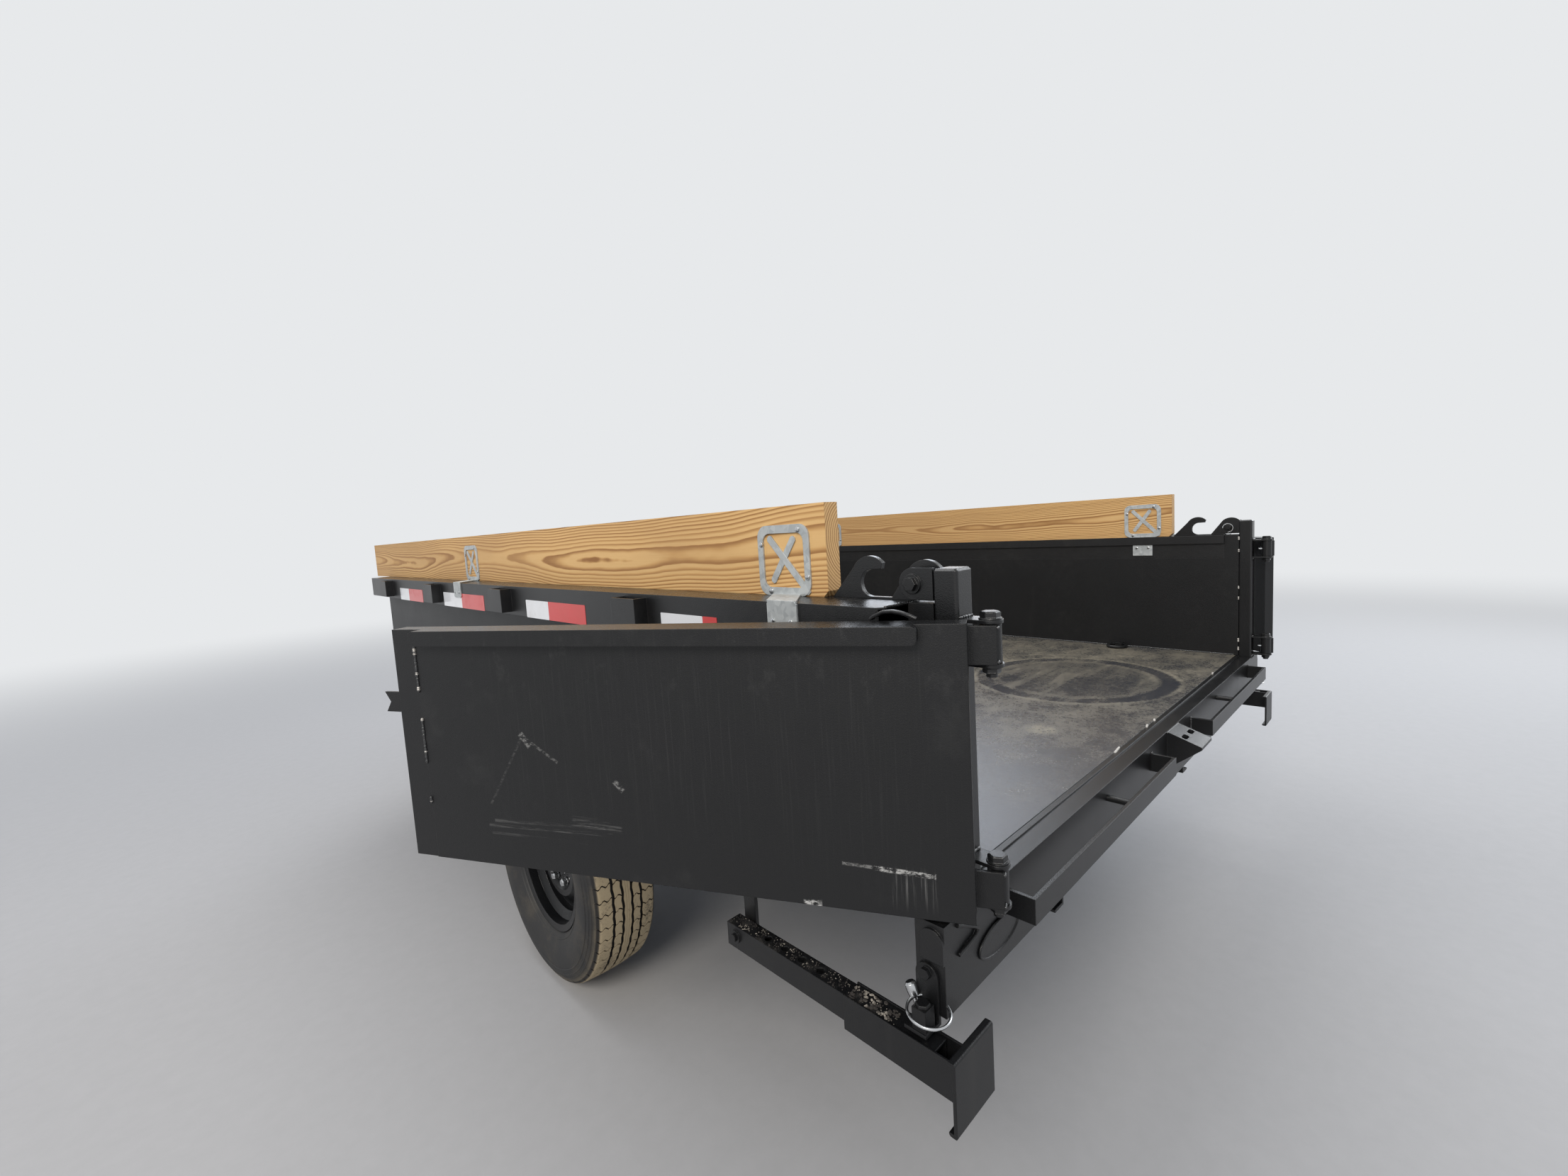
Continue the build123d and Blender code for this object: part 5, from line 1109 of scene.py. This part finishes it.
seam_spans = ((0.766, 0.665), (0.605, 0.515), (0.440, 0.430))
# Heights of the painted glints: short bright beads on the strip's seam.
painted_glint_spans = ((0.742, 0.752), (0.700, 0.704), (0.665, 0.672), (0.604, 0.606), (0.530, 0.538), (0.430, 0.433))
nipple_profile = (
    (0.0, 0.0285), (0.0026, 0.0280), (0.0036, 0.0260), (0.0030, 0.0240), (0.0034, 0.0225),
    (0.0052, 0.0222), (0.0052, 0.0185), (0.0040, 0.0180), (0.0040, 0.0150), (0.0, 0.0150),
)
face_y = -4.9795
stiffener_z = 0.7615
door_table = (
    # side, sign, free edge, swing back to the open place, wear
    ("left", -1, 0.0284, -242.0, left_door_marks), ("right", 1, 0.0374, 232.0, right_door_marks),
)
for side, sign, free_x, swing, marks in door_table:
    hinge = Vector((sign * hinge_x, hinge_y, 0.0))
    open_turn = Matrix.Rotation(radians(swing), 4, "Z")
    open_place = Matrix.Translation(hinge) @ open_turn @ Matrix.Translation(-hinge)
    to_shut = {
        "Rotation": (0.0, 0.0, radians(-swing)),
        "Location": tuple(hinge - open_turn.inverted() @ hinge),
    }
    door_coat = powder_coat(
        f"{side}_door_powder_coat", dust=0.06, scratches=0.6, gloss=0.33, shine=0.38,
        marks=marks, turned_place=to_shut,
    )
    door = f"{side}_door"
    door_coat.coat(door)
    strip_edge = free_x + sign * 0.057
    hinge_edge = sign * (inside_half - 0.0074)
    seams = [((strip_edge, face_y, start), (strip_edge, face_y, end)) for start, end in seam_spans]
    for place in (strip_edge + sign * 0.16, (strip_edge + hinge_edge) / 2, hinge_edge - sign * 0.17):
        seams.append([(place + end, face_y + 0.001, stiffener_z) for end in (-0.03, 0.03)])
    for base in hinge_bases:
        for height in (base + 0.004, base + hinge_barrel - 0.004):
            seams.append([(hinge.x - 0.010, hinge_y + out, height) for out in (0.016, 0.024)])
    # Painted glints: short beads of bright metal laid on the strip's seam welds.
    painted_glint_runs = [((strip_edge, face_y, low), (strip_edge, face_y, high)) for low, high in painted_glint_spans]
    for name, runs, finish, bead in (
        (f"{side}_door_welds", seams, bead_coat, 0.0030),
        (f"{side}_door_bare_welds", painted_glint_runs, bare_weld, 0.0032),
    ):
        runs = [[open_place @ Vector(end) for end in run] for run in runs]
        weld_beads(name, runs, finish, door, bead=bead)
    nipple_aim = Vector((-0.45 * sign, -0.9, 0.0)).normalized()
    nipple_places = [
        open_place @ aimed(hinge + Vector((0, 0, base + hinge_barrel / 2)), nipple_aim)
        for base in hinge_bases
    ]
    turned(f"{side}_grease_nipples", nipple_profile, nipple_places, plated, door, sides=12)

# Rear stands: a drilled tube that slides in a foot channel, hung from a slim arm and locked by a pin.
# Gravel has gathered on the tube; the plated pin at the beam's end has a pull ring.
stand_coat = powder_coat("stand_powder_coat", dust=0.55, scratches=0.6, gloss=0.34)
stand_coat.coat("stand_hangers", "left_stand_arm", "left_stand_foot", "right_stand_arm", "right_stand_foot")
stone = Finish("road_gravel")
stone_speck = stone.noise(420.0, 3.0, 0.7)
stone_tone = stone.noise(55.0, 2.0)
pale_stone = stone.mix(stone_speck, (0.22, 0.19, 0.15), (0.60, 0.55, 0.47))
stone.surface(
    Base_Color=stone.mix(stone.band(stone_tone, 0.46, 0.72), (0.035, 0.030, 0.026), pale_stone),
    Roughness=0.8 + stone_speck * 0.15,
)
stone.relief(stone_speck, 0.0004)
stand_x = 1.270
tube_top = 0.1222


def gravel(name, patches, body, stones_per_area, stone_size, seed):
    """Loose stones on flat patches at the tube's top, each patch given by its low and high x and y."""
    bed_patch = bmesh.new()
    for x_low, x_high, y_low, y_high in patches:
        corners = ((x_low, y_low), (x_high, y_low), (x_high, y_high), (x_low, y_high))
        bed_patch.faces.new([bed_patch.verts.new((*corner, tube_top)) for corner in corners])
    pattern = Pattern(name, Stones_per_area=stones_per_area, Stone_size=stone_size, Seed=seed)
    strewn = {"Mesh": pattern.start, "Density": pattern.size("Stones per area"), "Seed": pattern.size("Seed")}
    spots = pattern.add("GeometryNodeDistributePointsOnFaces", strewn)
    ball = {"Radius": pattern.size("Stone size"), "Subdivisions": 1}
    pebble = pattern.add("GeometryNodeMeshIcoSphere", ball)
    shape, lie = (
        pattern.add("FunctionNodeRandomValue", {0: low, 1: high, "Seed": source}, data_type="FLOAT_VECTOR")
        for low, high, source in (
            ((0.45, 0.4, 0.3), (1.35, 1.0, 0.75), pattern.size("Seed")),
            ((-0.5, -0.5, 0.0), (0.5, 0.5, 6.28), pattern.size("Seed") + 1),
        )
    )
    turn = pattern.add("FunctionNodeEulerToRotation", {0: lie})
    stones = pattern.on_points(spots, pebble, Scale=shape, Rotation=turn)
    strewn_mesh = pattern.grow(baked(name, bed_patch), stones, stone)
    finished(name, strewn_mesh, stone, body, crease=25.0)


tube_inner_half = 0.0155
pebble_span = (-4.925, -4.822)
grit_spans = ((-4.815, -4.757), (-4.737, -4.709), (-4.689, -4.661), (-4.641, -4.613), (-4.593, -4.494))
pin_profile = (
    (0.0, 0.036), (0.0070, 0.036), (0.0098, 0.033), (0.0104, 0.027), (0.0092, 0.014), (0.0055, 0.012),
    (0.0055, -0.022), (0.0, -0.022),
)
bolt_head_profile = ((0.0, 0.006), (0.0115, 0.006), (0.0125, 0.0045), (0.0125, 0.0), (0.0, 0.0))
for side, sign in (("left", -1), ("right", 1)):
    across = (sign * stand_x - tube_inner_half, sign * stand_x + tube_inner_half)
    pebbles, *grit = [(*across, *span) for span in (pebble_span, *grit_spans)]
    gravel(f"{side}_stand_pebbles", [pebbles], f"{side}_stand_arm", 17000.0, 0.0042, 5)
    gravel(f"{side}_stand_grit", [*grit, pebbles], f"{side}_stand_arm", 30000.0, 0.0017, 11)
    lock_ring = bmesh.new()
    ring_middle = Vector((sign * 1.268, -4.9835, 0.1665))
    ring_long = Vector((0.0, 1.0, 0.10)).normalized() * 0.035
    ring_wide = Vector((sign * 0.034, 0, 0))
    ring_path = [
        ring_middle + ring_long * cos(turn) + ring_wide * sin(turn)
        for turn in circle(40)
    ]
    bent_rod(lock_ring, ring_path, 0.0026, closed=True)
    cast(f"{side}_lock_ring", lock_ring, plated)
    pin_place = aimed(Vector((sign * 1.2545, -4.9530, 0.1560)), (0.0, 0.45, 1.0))
    turned(f"{side}_lock_pin", pin_profile, [pin_place], plated, sides=20)
    head_place = Matrix.Translation((sign * stand_x, -4.974, 0.1730))
    turned(f"{side}_lock_bolt_head", bolt_head_profile, [head_place], stand_coat, sides=6)

# Pump box: a folded case on the drawbar with a hinged lid and a paddle latch on its front.
# The power unit inside is painted steel; nothing of it shows while the lid is down.
box_coat = powder_coat("box_powder_coat", dust=0.22, scratches=0.4, gloss=0.34)
box_coat.coat("pump_box", "pump_box_lid")
barrel_coat.coat("power_unit")
latch = bmesh.new()
latch_place = aimed(Vector((0.0, -0.830, 0.325)), (0, 1, 0))
slab(latch, cut_box(0.105, 0.085, 0.008), latch_place, 0.003)
slab(latch, cut_box(0.060, 0.052, 0.006), latch_place @ Matrix.Translation((0, 0, 0.003)), 0.006)
latch_pull = (
    (-0.022, 0.018, 0.005), (-0.022, 0.018, 0.018), (-0.016, 0.018, 0.022), (0.016, 0.018, 0.022),
    (0.022, 0.018, 0.018), (0.022, 0.018, 0.005),
)
bent_rod(latch, [latch_place @ Vector(point) for point in latch_pull], 0.0035)
cast("box_latch", latch, plated, "chassis")

# Jack and coupler: a zinc-plated screw jack on a plate across the drawbar, and a cast coupler at its nose.
# The crank has a turned grip, and the coupler's latch lever is painted with its housing.
zinc.coat("jack_tube", "jack_leg")
iron = Finish("painted_casting")
cast_grain = iron.noise(180.0, 5.0, 0.7)
cast_cloud = iron.noise(16.0, 5.0, 0.6)
cast_wear = iron.band(cast_cloud, 0.56, 0.72) * 0.35
iron.surface(
    Base_Color=iron.mix(cast_wear, (0.016, 0.016, 0.017), (0.20, 0.15, 0.11)),
    Roughness=0.48 + cast_wear * 0.3 + cast_grain * 0.08,
    Metallic=0.1,
)
iron.relief(cast_grain, 0.0012, 0.002)
iron.coat("coupler")
jack_y = -0.47
grip_profile = (
    (0.0, 0.0), (0.0105, 0.0), (0.0125, 0.004), (0.0130, 0.030), (0.0118, 0.050), (0.0130, 0.080),
    (0.0120, 0.098), (0.0, 0.100),
)
grip_place = aimed(Vector((0.142, jack_y, 0.480)), (0, 0, -1))
turned("jack_crank_grip", grip_profile, [grip_place], rubber, "chassis", sides=24)
flange_spots = ((-0.143, 0.0), (-0.143, 0.055))
plate_spots = ((jack_y - 0.03, 0.101), (jack_y + 0.03, 0.101))
bolt_table = (
    # name, distance from the middle, places along and up, facing, radius, height, washer
    ("coupler_bolts", 0.0655, flange_spots, (0, 1, 0), 0.011, 0.009, 0.015),
    ("jack_plate_bolts", 0.215, plate_spots, (0, 0, 1), 0.010, 0.008, 0.014),
)
for name, across, spots, facing, radius, height, washer in bolt_table:
    places = [((side * across, *spot), facing) for side in (-1, 1) for spot in spots]
    fasteners(name, places, zinc, radius, height, washer, body="chassis")

# Studio: a plain pale floor that fades into a pale background, and a wide key light from the camera's left.
# A cool light from the far side glints on top faces; weaker ones stand above and right, under an even sky.
backdrop_colour = (0.80, 0.815, 0.83)
studio_middle = Vector((0, -3.0, cad_low.z))
studio = bmesh.new()
bmesh.ops.create_grid(studio, x_segments=1, y_segments=1, size=400.0)
studio_mesh = baked("studio_floor", studio)
studio_mesh.transform(Matrix.Translation(studio_middle))
studio_floor = placed("studio_floor", studio_mesh)
pale = Finish("pale_floor")
pale_grain = pale.noise(18.0, 6.0, 0.7)
pale.surface(Base_Color=pale.mix(pale_grain, (0.41, 0.405, 0.40), (0.46, 0.455, 0.45)), Roughness=0.85)
glow = pale.add("ShaderNodeEmission", {"Color": backdrop_colour, "Strength": 1.0})
fade = pale.band(pale.away(tuple(studio_middle)), 3.0, 15.0)
paint = Signal(pale.tree, pale.shader.outputs[0])
blend = pale.add("ShaderNodeMixShader", {0: fade, 1: paint, 2: glow})
pale.feed(pale.tree.nodes["Material Output"].inputs["Surface"], blend)
pale.coat(studio_floor)
world = bpy.data.worlds.new("studio")
bpy.context.scene.world = world
world.use_nodes = True
heavens = Wiring(world.node_tree)
camera_ray, glossy_ray, through_ray = (
    heavens.add("ShaderNodeLightPath", output=name)
    for name in ("Is Camera Ray", "Is Glossy Ray", "Is Transmission Ray")
)
sky = heavens.add("ShaderNodeBackground", {"Color": (0.80, 0.86, 1.0), "Strength": 0.55})
backdrop = heavens.add("ShaderNodeBackground", {"Color": backdrop_colour, "Strength": 1.0})
seen = camera_ray.larger(glossy_ray).larger(through_ray)
choice = heavens.add("ShaderNodeMixShader", {0: seen, 1: sky, 2: backdrop})
heavens.feed(world.node_tree.nodes["World Output"].inputs["Surface"], choice)
lamp_table = (
    # name, place, aimed at, width, watts, colour
    ("key_light", (-8.0, -7.5, 6.0), (0.0, -3.8, 0.2), 4.0, 600.0, (1.0, 0.95, 0.88)),
    ("rim_light", (8.5, 3.0, 6.2), (0.0, -4.2, 0.3), 7.0, 340.0, (0.82, 0.89, 1.0)),
    ("fill_light", (7.0, -7.0, 4.0), (0.0, -3.5, 0.2), 5.0, 260.0, (0.92, 0.96, 1.0)),
    ("top_light", (0.0, -1.0, 7.5), (0.0, -3.5, 0.0), 6.0, 300.0, (1.0, 1.0, 1.0)),
)
for name, place, aim, width, watts, colour in lamp_table:
    lamp = bpy.data.lights.new(name, "AREA")
    lamp.shape = "SQUARE"
    lamp.size = width
    lamp.energy = watts
    lamp.color = colour
    lamp_object = placed(name, lamp)
    lamp_object.location = place
    lamp_object.rotation_euler = (Vector(aim) - Vector(place)).to_track_quat("-Z", "Y").to_euler()
